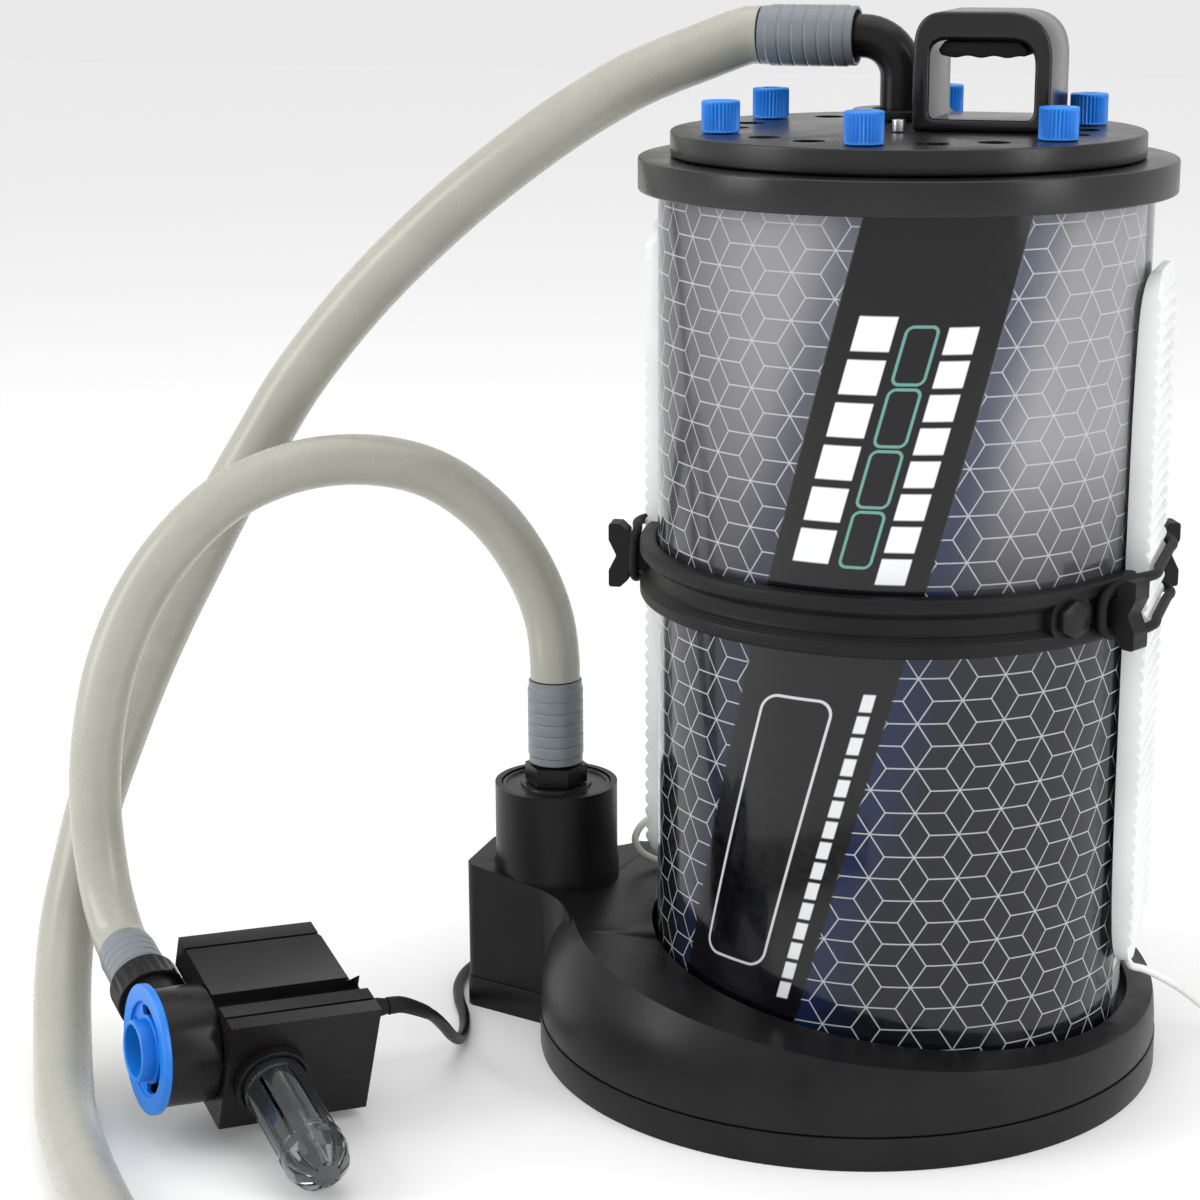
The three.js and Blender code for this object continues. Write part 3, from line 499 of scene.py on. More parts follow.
def clear(name, colour, second, rough, transmission, ior):
    """Clear or cloudy plastic: light passes through, a little unevenly."""
    material, tree, shader = blank(name)
    where, _ = position(tree)
    cloud = noise(tree, where, 25.0)
    two_tones(tree, shader, cloud.ramp(0.3, 0.7), colour, second)
    tree.links.new(cloud.ramp(0.3, 0.7, *rough).socket, shader.inputs["Roughness"])
    bumped(tree, shader, noise(tree, where, 300.0, 2.0), 0.02)
    shader.inputs["Transmission Weight"].default_value = transmission
    shader.inputs["IOR"].default_value = ior
    return material


PER_DEGREE = math.radians(1) * LABEL_RADIUS  # millimetres round the label for each degree
PRINT_EDGE = 0.3  # half the width over which a printed edge fades, in millimetres
# The first colour is the silver of a painted highlight on the label; the second is print.
PAINTED_SILVER_HIGHLIGHT, PLAIN_PRINT = (150, 149, 152), (236, 237, 238)


def inside(value, low, high, fade):
    """One from low to high, and zero past them."""
    return value.ramp(low - fade, low + fade) * value.ramp(high - fade, high + fade, 1.0, 0.0)


def bars(t, z, middle, half, low, high, pitch):
    """Plain printed blocks in a row along the band."""
    fade, share = 0.4, 0.4  # of a block's ends, and of the pitch that half a block takes
    beside = abs(t - middle).ramp(half - PRINT_EDGE, half + PRINT_EDGE, 1.0, 0.0)
    along = abs((z - low).math("FLOORED_MODULO", pitch) - pitch / 2)
    block_part = along.ramp(pitch * share - fade, pitch * share + fade, 1.0, 0.0)
    return beside * block_part * inside(z, low, high, PRINT_EDGE)


def outlines(t, z, middle, half, low, high, pitch):
    """Thin rounded frames in a row along the band."""
    corner = half * 0.45
    side = (abs(t - middle) - (half - corner)).most(0.0)
    along = abs((z - low).math("FLOORED_MODULO", pitch) - pitch / 2)
    end = (along - (pitch * 0.46 - corner)).most(0.0)
    from_centre = (side * side + end * end).math("SQRT")
    line = abs(from_centre - corner).ramp(0.35, 0.7, 1.0, 0.0)
    solid = from_centre.math("GREATER_THAN", corner - 1.0)
    return line * solid * inside(z, low, high, PRINT_EDGE)


def lattice(angle, z):
    """Thin lines round rhombuses that meet in threes and sixes. The pattern is mirrored and moved
    onto one small cell, and each point takes its distance to the nearest of that cell's lines."""
    column, row = 10.0, 16.523  # degrees round the tube, and millimetres up it
    corner_angle, corner_height = 17.36, 307.8
    wide, tall = column * PER_DEGREE, row / 2
    u = (angle - corner_angle) * PER_DEGREE
    v = z - corner_height
    across = abs((u + wide).math("FLOORED_MODULO", 2 * wide) - wide)
    up = abs((v + tall).math("FLOORED_MODULO", row) - tall)
    past = across.math("GREATER_THAN", wide / 2)
    same = past * -1.0 + 1.0
    a = across * same + (across * -1.0 + wide) * past
    b = up * same + (up * -1.0 + tall) * past
    slope = math.hypot(wide / 3, tall)
    diagonal = abs(a * (tall / slope) - b * (wide / 3 / slope))
    upper = (b * -1.0 + tall).most(a * -1.0 + wide / 3)
    return b.least(diagonal).least(upper).ramp(0.12, 0.36, 1.0, 0.0)


def label_ground(tree, angle, z, left, right):
    """Near black at the foot, a painted highlight in silver in two places higher up where the light falls on
    it, and blue beside the band.
    """
    ground = mixed(tree, z.ramp(60.0, 335.0), linear(17, 18, 24), linear(34, 35, 44))
    # Painted highlight: two silver patches where the softboxes' light falls on the label.
    painted_highlight_left = angle.ramp(-65.0, -15.0) * z.ramp(170.0, 330.0)
    painted_highlight_right = angle.ramp(20.0, 45.0) * z.ramp(190.0, 335.0)
    painted_highlight = (painted_highlight_left + painted_highlight_right).least(1.0)
    ground = mixed(tree, painted_highlight * 0.9, ground, linear(*PAINTED_SILVER_HIGHLIGHT))
    past_right, past_left = angle - right, left - angle
    blue = past_right.ramp(0.0, 16.0, 1.0, 0.0) * past_right.ramp(-0.5, 0.5) * 0.75
    ground = mixed(tree, blue, ground, linear(15, 33, 72))
    blue = past_left.ramp(0.0, 13.0, 1.0, 0.0) * past_left.ramp(-0.5, 0.5) * 0.6
    return mixed(tree, blue, ground, linear(17, 29, 60))


def label_look():
    """Gloss print: a lattice of thin pale lines on a ground that fades from a painted silver highlight high
    up to black low down, and a dark slanting band with plain bars in place of any lettering."""
    material, tree, shader = blank("printed_label")
    where, (x, y, z) = position(tree)
    angle = x.math("ARCTAN2", y * -1.0) * (180 / math.pi)
    left = z * 0.1611 - 51.1  # the band's edges, in degrees
    right = z * 0.1697 - 16.6
    ground = label_ground(tree, angle, z, left, right)
    ground = mixed(tree, lattice(angle, z) * 0.85, ground, linear(186, 188, 192))
    band = (angle - left).ramp(-0.4, 0.4) * (right - angle).ramp(-0.4, 0.4)
    ground = mixed(tree, band, ground, linear(9, 9, 13))
    t = (angle - (left + right) * 0.5) * PER_DEGREE
    rows = (  # what is drawn, its middle across the band, half its width, bottom, top, pitch, colour
        (bars, -14.5, 6.6, 214, 304, 15.0, PLAIN_PRINT),
        (outlines, 1.5, 5.4, 214, 300, 21.5, (104, 156, 146)),
        (bars, 15.5, 5.2, 208, 300, 11.5, PLAIN_PRINT),
        (outlines, -5.0, 13.5, 56, 170, 114.0, (200, 201, 204)),
        (bars, 20.0, 2.2, 50, 170, 8.0, (222, 223, 226)),
    )
    for draw, middle, half, low, high, pitch, colour in rows:
        ground = mixed(tree, draw(t, z, middle, half, low, high, pitch), ground, linear(*colour))
    tree.links.new(ground, shader.inputs["Base Color"])
    fine = noise(tree, where, 300.0, 2.0)
    tree.links.new(fine.ramp(0.3, 0.7, 0.1, 0.2).socket, shader.inputs["Roughness"])
    shader.inputs["Specular IOR Level"].default_value = 0.3
    shader.inputs["Coat Weight"].default_value = 0.25
    shader.inputs["Coat Roughness"].default_value = 0.04
    return material


# Two tones, range of roughness, grain (as a noise scale) and depth of bump.
BLACK = black("black_moulding", (20, 19, 20), (25, 24, 25), (0.3, 0.42), 700.0, 0.1)
MACHINED = turned("black_machined", (21, 20, 21), (27, 26, 27), (0.24, 0.36))
PRINTED = black("black_printed", (19, 18, 18), (24, 23, 23), (0.42, 0.56), 500.0, 0.22, layers=0.9)
HANDLE = moulded("handle_moulding", (19, 18, 18), (24, 23, 23), (0.18, 0.27), 500.0, 0.06,
                 Specular_IOR_Level=0.4)
FITTING = black("black_fitting", (22, 21, 22), (29, 28, 29), (0.22, 0.34), 800.0, 0.08)
HOUSING = black("pump_housing", (21, 20, 20), (28, 26, 26), (0.2, 0.32), 600.0, 0.08)
RUBBER = black("black_rubber", (20, 20, 20), (27, 27, 27), (0.55, 0.7), 500.0, 0.2)
CABLE = black("black_cable", (20, 19, 19), (28, 27, 27), (0.35, 0.5), 600.0, 0.1)
BLUE = moulded("blue_plastic", (12, 122, 222), (20, 134, 234), (0.28, 0.4), 700.0, 0.08)
GREY = moulded("grey_plastic", (150, 154, 152), (162, 165, 163), (0.45, 0.6), 500.0, 0.1)
WHITE = moulded("white_plastic", (226, 226, 222), (234, 234, 231), (0.4, 0.5), 600.0, 0.08)
LAMP_WHITE = moulded("white_lamp", (225, 229, 227), (236, 239, 237), (0.25, 0.36), 700.0, 0.06)
WHITE_CABLE = moulded("white_cable", (226, 226, 222), (236, 236, 233), (0.35, 0.5), 600.0, 0.08)
CERAMIC = moulded("ceramic", (232, 228, 216), (240, 237, 228), (0.15, 0.25), 400.0, 0.03)
BOARD = moulded("circuit_board", (214, 220, 214), (224, 229, 224), (0.4, 0.5), 300.0, 0.1)
STEEL = moulded("stainless_steel", (188, 190, 194), (206, 208, 211), (0.2, 0.34), 900.0, 0.08, Metallic=1.0)
HOSE = moulded("silicone_hose", (170, 170, 158), (174, 174, 163), (0.24, 0.3), 1200.0, 0.015,
               Subsurface_Weight=0.5, Subsurface_Radius=(0.008, 0.008, 0.006))
# Two tones, range of roughness, share of light let through and refractive index.
ACRYLIC = clear("clear_acrylic", (246, 249, 250), (250, 252, 252), (0.02, 0.05), 0.97, 1.49)
WINDOW = clear("lamp_window", (238, 242, 243), (246, 249, 249), (0.25, 0.4), 0.8, 1.49)
SMOKY = clear("smoky_clear", (142, 145, 148), (158, 161, 164), (0.03, 0.07), 0.95, 1.49)
HOSE_END = clear("hose_over_barb", (126, 133, 138), (134, 141, 146), (0.24, 0.32), 0.12, 1.41)
LABEL = label_look()


# ---- Camera, light and floor ----


CAMERA_PLACE = (0.20754, -0.97640, 0.43873)  # metres
CAMERA_TURN, CAMERA_TILT, CAMERA_ROLL = 18.488, 75.435, -0.2926  # degrees
CAMERA_LENS, SENSOR_WIDTH = 80.683, 36
LIGHTS = {  # place and size in metres, and power in watts
    "left_softbox": ((-1.5, -0.9, 0.9), (0.7, 1.4), 13),
    "right_softbox": ((1.5, -0.5, 0.8), (0.5, 1.4), 8),
    "top_softbox": ((0, 0.1, 1.9), (1.6, 1.6), 9),
}
LIT_POINT = Vector((0, 0, 0.2))
WORLD_STRENGTH = 0.82
FLOOR_HALF = 6000


def make_camera():
    data = bpy.data.cameras.new("camera")
    data.lens = CAMERA_LENS
    data.sensor_width = SENSOR_WIDTH
    camera = bpy.data.objects.new("camera", data)
    tilt = Matrix.Rotation(math.radians(CAMERA_TILT), 4, "X")
    camera.matrix_world = shifted(*CAMERA_PLACE) @ spun(CAMERA_TURN) @ tilt @ spun(CAMERA_ROLL)
    bpy.context.scene.collection.objects.link(camera)
    bpy.context.scene.camera = camera


def make_light(name, place, size, power):
    data = bpy.data.lights.new(name, "AREA")
    data.shape = "RECTANGLE"
    data.size, data.size_y = size
    data.energy = power
    light = bpy.data.objects.new(name, data)
    light.location = place
    light.rotation_euler = (LIT_POINT - Vector(place)).to_track_quat("-Z", "Y").to_euler()
    bpy.context.scene.collection.objects.link(light)


def make_studio():
    for name, facts in LIGHTS.items():
        make_light(name, *facts)
    world = bpy.data.worlds.new("studio")
    world.use_nodes = True
    background = world.node_tree.nodes["Background"]
    background.inputs["Color"].default_value = (1, 1, 1, 1)
    background.inputs["Strength"].default_value = WORLD_STRENGTH
    bpy.context.scene.world = world
    bpy.context.scene.view_settings.view_transform = "Standard"
    corners = [(-1, -1), (1, -1), (1, 1), (-1, 1)]
    floor = raw([(x * FLOOR_HALF, y * FLOOR_HALF, 0) for x, y in corners], [(0, 1, 2, 3)])
    floor.name = "floor"
    floor.data.transform(Matrix.Scale(MM, 4))
    material, _, shader = blank("pale_floor")
    shader.inputs["Base Color"].default_value = (0.95, 0.95, 0.95, 1)
    shader.inputs["Roughness"].default_value = 0.75
    shader.inputs["Emission Color"].default_value = (1, 1, 1, 1)
    shader.inputs["Emission Strength"].default_value = 0.05
    floor.data.materials.append(material)


# ---- Hoses, cables and their ends ----

OUTLET_HOSE, INLET_HOSE, PUMP_LEAD, LAMP_LEAD = 22, 20, 4.5, 3  # diameters
HOSE_WALL = 3
OUTLET_ROUTE = [
    (-67.2, 45, 388.7), (-72, 45, 388.6), (-90, 41, 382), (-114, 34, 372), (-136, 27, 359),
    (-157, 21, 344), (-177, 16, 328), (-197, 11, 310), (-215, 7, 292), (-232, 2, 272),
    (-247, -4, 251), (-260, -10, 228), (-272, -16, 206), (-283, -23, 182), (-293, -31, 159),
    (-301, -41, 136), (-307, -52, 113), (-311, -66, 90), (-311, -81, 69), (-308, -99, 49),
    (-300, -119, 33), (-289, -140, 22), (-276, -163, 15), (-262, -186, 12), (-246, -208, 11.6),
    (-226, -233, 11.6), (-203, -259, 11.6), (-178, -284, 11.6), (-150, -307, 11.6),
    (-120, -328, 11.6), (-88, -346, 11.6), (-54, -361, 11.6), (-19, -373, 11.6), (17, -382, 11.6),
]
INLET_ROUTE = [
    (-138, 0, 137.8), (-138, 0, 143), (-142, 5, 160), (-150, 5, 180), (-165, 0, 203),
    (-185, -10, 220), (-207, -23, 227), (-230, -38, 226), (-251, -54, 217), (-267, -68, 201),
    (-279, -81, 180), (-287, -91, 155), (-291, -97, 129), (-292.5, -99.5, 104), (-291, -101, 84),
    (-287, -105, 69.5), (-281.5, -110.4, 59.7),
]
PUMP_CABLE_ROUTE = [
    (-154.5, -112, 38.5), (-153, -101, 31.5), (-153.5, -89, 22.5), (-155, -76, 12.5),
    (-157.5, -62, 5), (-161, -48, 2.6), (-166.5, -34, 2.5), (-174, -20, 2.5), (-180, -5, 2.5),
    (-182, 11, 2.5), (-179, 27, 2.5), (-170.5, 42, 2.5), (-159, 55, 2.5), (-148, 68, 2.5),
    (-138, 82, 2.5), (-127, 95, 2.5), (-114, 106.5, 2.5), (-98, 116, 2.5), (-80, 124, 2.5),
    (-61, 130.2, 2.5), (-41, 135, 2.5),
]
LAMP_CABLE_ROUTES = {
    "right": [(94.6, 1.2, 42.6), (98.5, 4.5, 40.6), (104, 13, 35), (111, 25, 26), (118, 36, 16),
              (125, 43.5, 7.5), (133, 47.5, 2.2), (143, 48.9, 1.7), (153, 48.7, 1.7)],
    "left": [(-91.8, 24.4, 55.4), (-95.4, 24.8, 54.5), (-99.5, 24, 54.9), (-104.2, 21.8, 57),
             (-108.4, 19.5, 60.5), (-110.6, 19, 65.5), (-109.3, 21.6, 70.2), (-106.1, 27.7, 73),
             (-102.6, 36, 75.2), (-99, 48, 74.5), (-98, 62, 69), (-99, 79, 60), (-103.5, 96, 45),
             (-108, 110, 26), (-110.5, 122, 10), (-111, 134, 2.6), (-111, 142, 1.8), (-111, 150, 1.8)],
}
# Centre, way round, the angle that the lead leaves at, its length in metres, and where it has come
# to rest on the floor.
LAMP_COILS = {
    "right": ((166, 68), 1, 0, 0.81, (133, 47.5, 2.2)),
    "left": ((-91, 162), -1, 180, 0.88, (-111, 134, 2.6)),
}
OUTLET_HOSE_RESTS = (-300, -119, 33)
PLUG_X, PLUG_Y = -9, 138.5
PIN_HEIGHT, PIN_OFFSET = 7.2, 9.5


def coil_points(centre, middle, d, way, enter, leave):
    """Turns of a cable lying a diameter apart: three in the bottom layer from the outside in, then
    three on top of them from the inside out. Angles are in degrees, way is 1 or -1, and each step
    to the next turn or layer takes a sixth of a turn, at its own place round the coil."""
    turns, points_per_turn, lead_in = 6, 28, 0.9
    level = 0.35 + d / 2
    steps = [(0.83, -1, 0), (1.83, -1, 0), (2.66, 0, 1), (3.5, 1, 0), (4.5, 1, 0)]
    total = turns + ((leave - enter) * way % 360) / 360
    count = round(total * points_per_turn)
    points = []
    for i in range(1, count + 1):
        done = total * i / count
        track = 1.0 + max(0, 1 - done * 4) * lead_in
        layer = 0.0
        for at, inward, rise in steps:
            share = min(1, max(0, (done - at) * 6))
            share = share * share * (3 - 2 * share)
            track += inward * share
            layer += rise * share
        a = math.radians(enter + way * 360 * done)
        r = middle + track * d
        points.append((centre[0] + r * math.cos(a), centre[1] + r * math.sin(a), level + layer * d))
    return points


def metres(point):
    return tuple(value * MM for value in point)


def cord(name, route, diameter, length, material, hides, ends, across=None, settled=None,
         wall=None, gap=3.0, sides=16, **facts):
    """A length of something flexible, as a round tube along a smooth line through the route; length is not
    used. One whose start is on the moving body named by across is given no body to ride."""
    line = smooth_line(route, gap)
    body = tube(line, diameter / 2, sides, wall)
    made = piece(body, name, material, hides, None if across else "reactor")
    if across:
        metres(route[0])
        metres(settled)
        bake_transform(made)
    path = [metres(p) for p in line]


def make_plug():
    place = shifted(PLUG_X, PLUG_Y, 0)
    side = [(0, -3.4), (9, -6.4), (15, -16.6), (39.6, -16.6)]
    outline = side + [(x, -y) for x, y in reversed(side)]
    body = soften(prism(fillet(outline, 4), 0.4, 13.9, place), 2.2, 4)
    grips = []
    for low, high in ((-20, -15.8), (15.8, 20)):
        for x in (18, 22, 26, 30):
            grips.append(block((x, low, 0), (x + 1.6, high, 20), place))
    return part(cut(body, *grips), "mains_plug", FITTING)


def make_plug_pin(index, offset):
    profile = [(0, 0.2), (2, 0.2), (2, 17), (1.4, 18.8), (0, 19)]
    place = shifted(PLUG_X + 40.3, PLUG_Y + offset, PIN_HEIGHT) @ AXIS_TO_X
    body = lathe(profile, place, SMALL, 0.4)
    return part(body, f"plug_pin_{index}", STEEL)


def make_connector(side, x, y):
    profile = [(0, 0), (2.1, 0), (2.5, 3), (2.1, 4), (2.7, 7), (2.3, 8), (3, 11), (4.9, 14), (4.9, 30),
               (4.2, 31), (4.2, 35.9), (3, 35.9), (3, 30), (0, 30)]

    def knurl(a, z):
        return 1 - 0.03 * (1 + math.cos(18 * a)) / 2 if 15 < z < 29 else 1

    body = lathe(profile, shifted(x, y, 5.3) @ AXIS_TO_Y, 72, 0.35, knurl)
    return part(body, f"lamp_connector_{side}", FITTING)


def make_hoses():
    cord("outlet_hose_tube", OUTLET_ROUTE, OUTLET_HOSE, 0.93, HOSE, ["outlet_hose"],
         "bare", across="lid", settled=OUTLET_HOSE_RESTS, wall=HOSE_WALL, gap=6.0, sides=32,
         stiffness="stiff", lay="loose")
    pump_end = [tuple(PUMP @ Vector((SPOUT_X, y, SHAFT_Z))) for y in (93, 87.1)]
    cord("inlet_hose_tube", INLET_ROUTE + pump_end, INLET_HOSE, 0.38, HOSE,
         ["inlet_hose"], "object", wall=HOSE_WALL, gap=5.0, sides=32, stiffness="stiff", lay="loose")


def make_pump_lead():
    plug = make_plug()
    pins = [make_plug_pin(1, -PIN_OFFSET), make_plug_pin(2, PIN_OFFSET)]
    x, y, z = PUMP_GLAND
    gland = [tuple(PUMP @ Vector((x + out, y, z))) for out in (6.3, 11)]
    coil = coil_points((-30, 168), 25, PUMP_LEAD, 1, -108.5, -90)
    into_plug = [(PLUG_X - 11, PLUG_Y, 7.1), (PLUG_X - 0.3, PLUG_Y, PIN_HEIGHT)]
    route = gland + PUMP_CABLE_ROUTE + coil + into_plug
    gap, relief_points = 2.5, 10
    start = smooth_line(route, gap)[:relief_points]
    relief = tube(start, lambda share: 3.3 - 0.8 * share, 24, 0.9)
    relief = piece(relief, "lead_strain_relief", RUBBER)
    cord("pump_lead", route, PUMP_LEAD, 1.35, CABLE, ["pump_cable", "pump_cable_coil"],
         "plug", gap=gap, sides=14, stiffness="medium", lay="coiled", with_pieces=[relief, plug, *pins])


def make_lamp_lead(side):
    centre, way, leave, length, settled = LAMP_COILS[side]
    turn, bottom = spun(LAMPS[side]["angle"] - 90), LAMPS[side]["bottom"]
    top = [tuple(turn @ Vector((LAMP_CABLE_RADIUS, 0, bottom - drop))) for drop in (3.7, 5)]
    x = centre[0] + way * 20
    connector = make_connector(side, x, centre[1] + 13)
    last = LAMP_CABLE_ROUTES[side][-1]
    enter = math.degrees(math.atan2(last[1] - centre[1], last[0] - centre[0]))
    coil = coil_points(centre, 17, LAMP_LEAD, way, enter, leave)
    into_connector = [(x, centre[1] + 7, 5.1), (x, centre[1] + 12.8, 5.3)]
    route = top + LAMP_CABLE_ROUTES[side] + coil + into_connector
    hides = [f"lamp_cable_{side}", f"lamp_coil_{side}"]
    cord(f"lamp_lead_{side}", route, LAMP_LEAD, length, WHITE_CABLE, hides, "connector",
         across=f"lamp_{side}", settled=settled, gap=2.0, sides=12, stiffness="limp", lay="coiled",
         with_pieces=[connector])


# ---- Base ----


def bend(start, control, end, steps=10):
    """Points of a curve from start to end, without start itself."""
    a, b, c = Vector(start), Vector(control), Vector(end)
    shares = [k / steps for k in range(1, steps + 1)]
    return [tuple(a * (1 - t) ** 2 + b * 2 * t * (1 - t) + c * t * t) for t in shares]


def block_outline(grow):
    """Plan of the inlet block: narrow at its free end, and widening into the bowl."""
    end = -171 - grow
    half = [(end, 14)]
    half += bend(half[-1], (end, 17.5 + grow), (-167, 18.4 + grow))
    half += [(-136, 27 + grow)]
    half += bend(half[-1], (-124, 31 + grow), (-117, 46 + grow))
    half += [(-80, 60)]
    return half + [(x, -y) for x, y in reversed(half)]


def make_base():
    round_part, riser_place = shifted(BASE_X, 0, 0), shifted(INLET_X, 0, 0)
    side = [(120.8, BASE_TOP), (120.75, 19), (120.2, 26), (118.7, 33.5), (116.5, 40), (112, 49), (105, 60)]
    dome = lathe([(0, BASE_TOP), *side, (0, 60)], round_part, soften=0.8)
    bowl = join(dome, prism(block_outline(0), BASE_TOP, 75))
    above_deck = prism([(-200, 65), (200, 17), (200, 200), (-200, 200)], -200, 200, SIDEWAYS)
    bowl = cut(bowl, above_deck)
    riser = [(0, 40), (25.3, 40), (25.3, 60), (24.7, 64), (24.7, 94.5), (0, 94.5)]
    bowl = join(bowl, lathe(riser, riser_place, 96, 0))
    seat = rod(93, 23, 80, None, ROUND)
    well = rod(22.1, 89.5, 96, riser_place, 96)
    soften(cut(bowl, seat, well), 1.5, 3)
    part(bowl, "base_bowl", BLACK)
    plate = join(rod(121.2, 0, PLATE_TOP, round_part, ROUND), prism(block_outline(0.6), 0, PLATE_TOP))
    part(soften(plate, 1.1), "base_plate", BLACK)


def make_inlet():
    place = shifted(INLET_X, 0, 0)
    cap = [(8.5, CAP_BOTTOM), (21.8, CAP_BOTTOM), (21.8, 93.9), (20.2, 93.9), (19.8, 93), (14.4, 93),
           (14, 94.1), (8.5, 94.1)]
    part(lathe(cap, place, 96, 0.3), "inlet_cap", FITTING)
    barb = [(6, CAP_BOTTOM), (8.2, CAP_BOTTOM), (8.2, 104)]
    for rib in range(3):
        barb += [(9.2, 105 + rib * 10.5), (8.2, 114 + rib * 10.5)]
    body = lathe([*barb, (6, 136)], place, SMALL, 0.2)
    nut = cut(prism(hexagon(12.6, 12), 94.6, 102, place), rod(7, 90, 110, place))
    fitting = soften(join(body, nut), 0.4, 2)
    part(fitting, "inlet_fitting", FITTING)


# ---- Tube, label, flange and lid ----


def make_tube():
    low, high = 23.3, 336.2
    wall = [(TUBE_INNER, low), (TUBE_OUTER, low), (TUBE_OUTER, high), (TUBE_INNER, high)]
    part(lathe(wall, soften=0.5), "reactor_tube", ACRYLIC)
    steps, half = 108, 81
    arc = [-half + 2 * half * i / steps for i in range(steps + 1)]
    outline = [on_circle(LABEL_RADIUS, a) for a in arc] + [on_circle(90.3, a) for a in reversed(arc)]
    piece(prism(outline, 24, 335.8), "label_print", LABEL, ["label_film"])


def make_flange():
    inner, outer, groove = 62, 98.2, 346.5
    profile = [(inner, FLANGE_BOTTOM), (outer, FLANGE_BOTTOM), (outer, FLANGE_TOP), (81, FLANGE_TOP),
               (81, groove), (77, groove), (77, FLANGE_TOP), (inner, FLANGE_TOP)]
    flange = lathe(profile, soften=0.9)
    part(flange, "top_flange", MACHINED)


def make_lid():
    rim, below, above = 86.4, 340, 370
    lid = lathe([(0, LID_BOTTOM), (rim, LID_BOTTOM), (rim, LID_TOP), (0, LID_TOP)], soften=1.0)
    tools = [rod(6.2, below, above, shifted(ELBOW.x, ELBOW.y, 0)), rod(1.7, below, above, shifted(*VENT, 0))]
    for angle in range(0, 360, 60):
        tools.append(rod(3, below, above, shifted(*on_circle(SCREW_CIRCLE, angle), 0), 20))
        for dimple in (20, 40):
            tools.append(rod(5.8, LID_TOP - 2, above, shifted(*on_circle(63.5, angle + dimple), 0), 32))
    part(soften(cut(lid, *tools), 0.35, 2), "lid", MACHINED, "lid")


def make_thumb_screw(number):
    """Blue knob with fine ribs, a rounded crown and its screw."""
    ribs, shank, knob, crown = 30, 2.5, 6.95, 369.5
    profile = [(0, 349.3), (shank, 349.3), (shank, ON_LID), (knob, ON_LID), (knob, 359.3), (knob, 367.9),
               (knob, crown), (3.4, crown), (3, 369.0), (0, 369.0)]

    def wave(a, z):
        if z < ON_LID + 0.1:
            return 1
        depth = 0.1 * min(1, max(0, (z - 358.6) / 0.6)) * min(1, max(0, (368.9 - z) / 0.9))
        return 1 - depth * (0.5 + 0.5 * math.cos(ribs * a))

    place = shifted(*on_circle(SCREW_CIRCLE, (number - 1) * 60), 0)
    body = lathe(fillet(profile, 1.5, closed=False), place, ribs * 6, 0, wave)
    name = f"thumb_screw_{number}"
    part(body, name, BLUE, name)


def make_handle():
    """A bow across the lid with an opening through it, and a wavy rubber grip under its top."""
    front, back, top = 3.8, 53.6, 400.2
    bow = [(front, ON_LID), (back, ON_LID), (back, 383.2)]
    bow += bend(bow[-1], (back, top), (36.6, top)) + [(14.8, top)]
    bow += bend(bow[-1], (front, top), (front, 387.2))
    front, back, low, top = 9.8, 47.6, 362.4, 390.2
    gap = [(12.8, low), (44.6, low)]
    gap += bend(gap[-1], (back, low), (back, 366.2), 5) + [(back, 381.2)]
    gap += bend(gap[-1], (back, top), (38.6, top)) + [(15.8, top)]
    gap += bend(gap[-1], (front, top), (front, 384.2)) + [(front, 365.2)]
    gap += bend(gap[-1], (front, low), (12.8, low), 5)[:-1]
    body = cut(prism(bow, -30, 11, SIDEWAYS), prism(gap, -40, 20, SIDEWAYS))
    part(soften(body, 1.5, 4), "lift_handle", HANDLE, "lid")
    under = [(13.4 + i * 0.75, 384.3 + 0.35 * math.cos(i * 0.5)) for i in range(41)]
    over = [(44.6, 386.5), (41, 389.9), (14.4, 389.9), (12, 386.5)]
    grip = prism([*under, *over], -26, 7, SIDEWAYS)
    part(soften(grip, 0.9), "handle_grip", RUBBER, "lid")


def make_elbow():
    x, y, height = ELBOW
    radius, wall, bend_at = 8.2, 3.4, 15
    line = [Vector((x, y, ON_LID + i * 3.1)) for i in range(5)]
    for i in range(13):
        a = math.radians(7.5 * i)
        line.append(Vector((x - bend_at * (1 - math.cos(a)), y, height - bend_at + bend_at * math.sin(a))))
    line += [Vector((x - bend_at - i * 3.6, y, height)) for i in range(1, 11)]
    body = tube(line, radius, 48, wall)
    part(body, "outlet_elbow", FITTING, "lid")
    collar = [(8.9, ON_LID), (18.4, ON_LID), (18.4, 361.9), (11.5, 361.9), (11, 361.2), (8.9, 361.2)]
    collar = lathe(collar, shifted(x, y, 0), 80, 0.6)
    part(collar, "elbow_collar", FITTING, "lid")


def make_vent_screw():
    profile = [(0, 349.4), (1.2, 349.4), (1.2, ON_LID), (2.3, ON_LID), (2.3, 362.6), (0, 362.6)]
    slot = block((-3, -17.4, 361.6), (4, -16.6, 364))
    vent = cut(lathe(profile, shifted(*VENT, 0), SMALL, 0.4), slot)
    part(vent, "vent_screw", STEEL, "vent_screw")


def make_cuff(name, place, inner, outer, length, ribs, rides="reactor"):
    """End of a hose, swollen over the ribs of the barb inside it."""
    end, dip = 3, 0.4
    pitch = (length - 2 * end) / ribs
    profile = [(inner, 0), (outer - 0.3, 0)]
    for rib in range(ribs):
        z = end + rib * pitch
        profile += [(outer - dip, z), (outer, z + 0.12 * pitch), (outer, z + 0.88 * pitch)]
    profile += [(outer - dip, length - end), (outer - 0.5, length), (inner, length)]
    sleeve = lathe(profile, place, 64, 0.5)
    piece(sleeve, f"{name}_sleeve", HOSE_END, [name], rides)


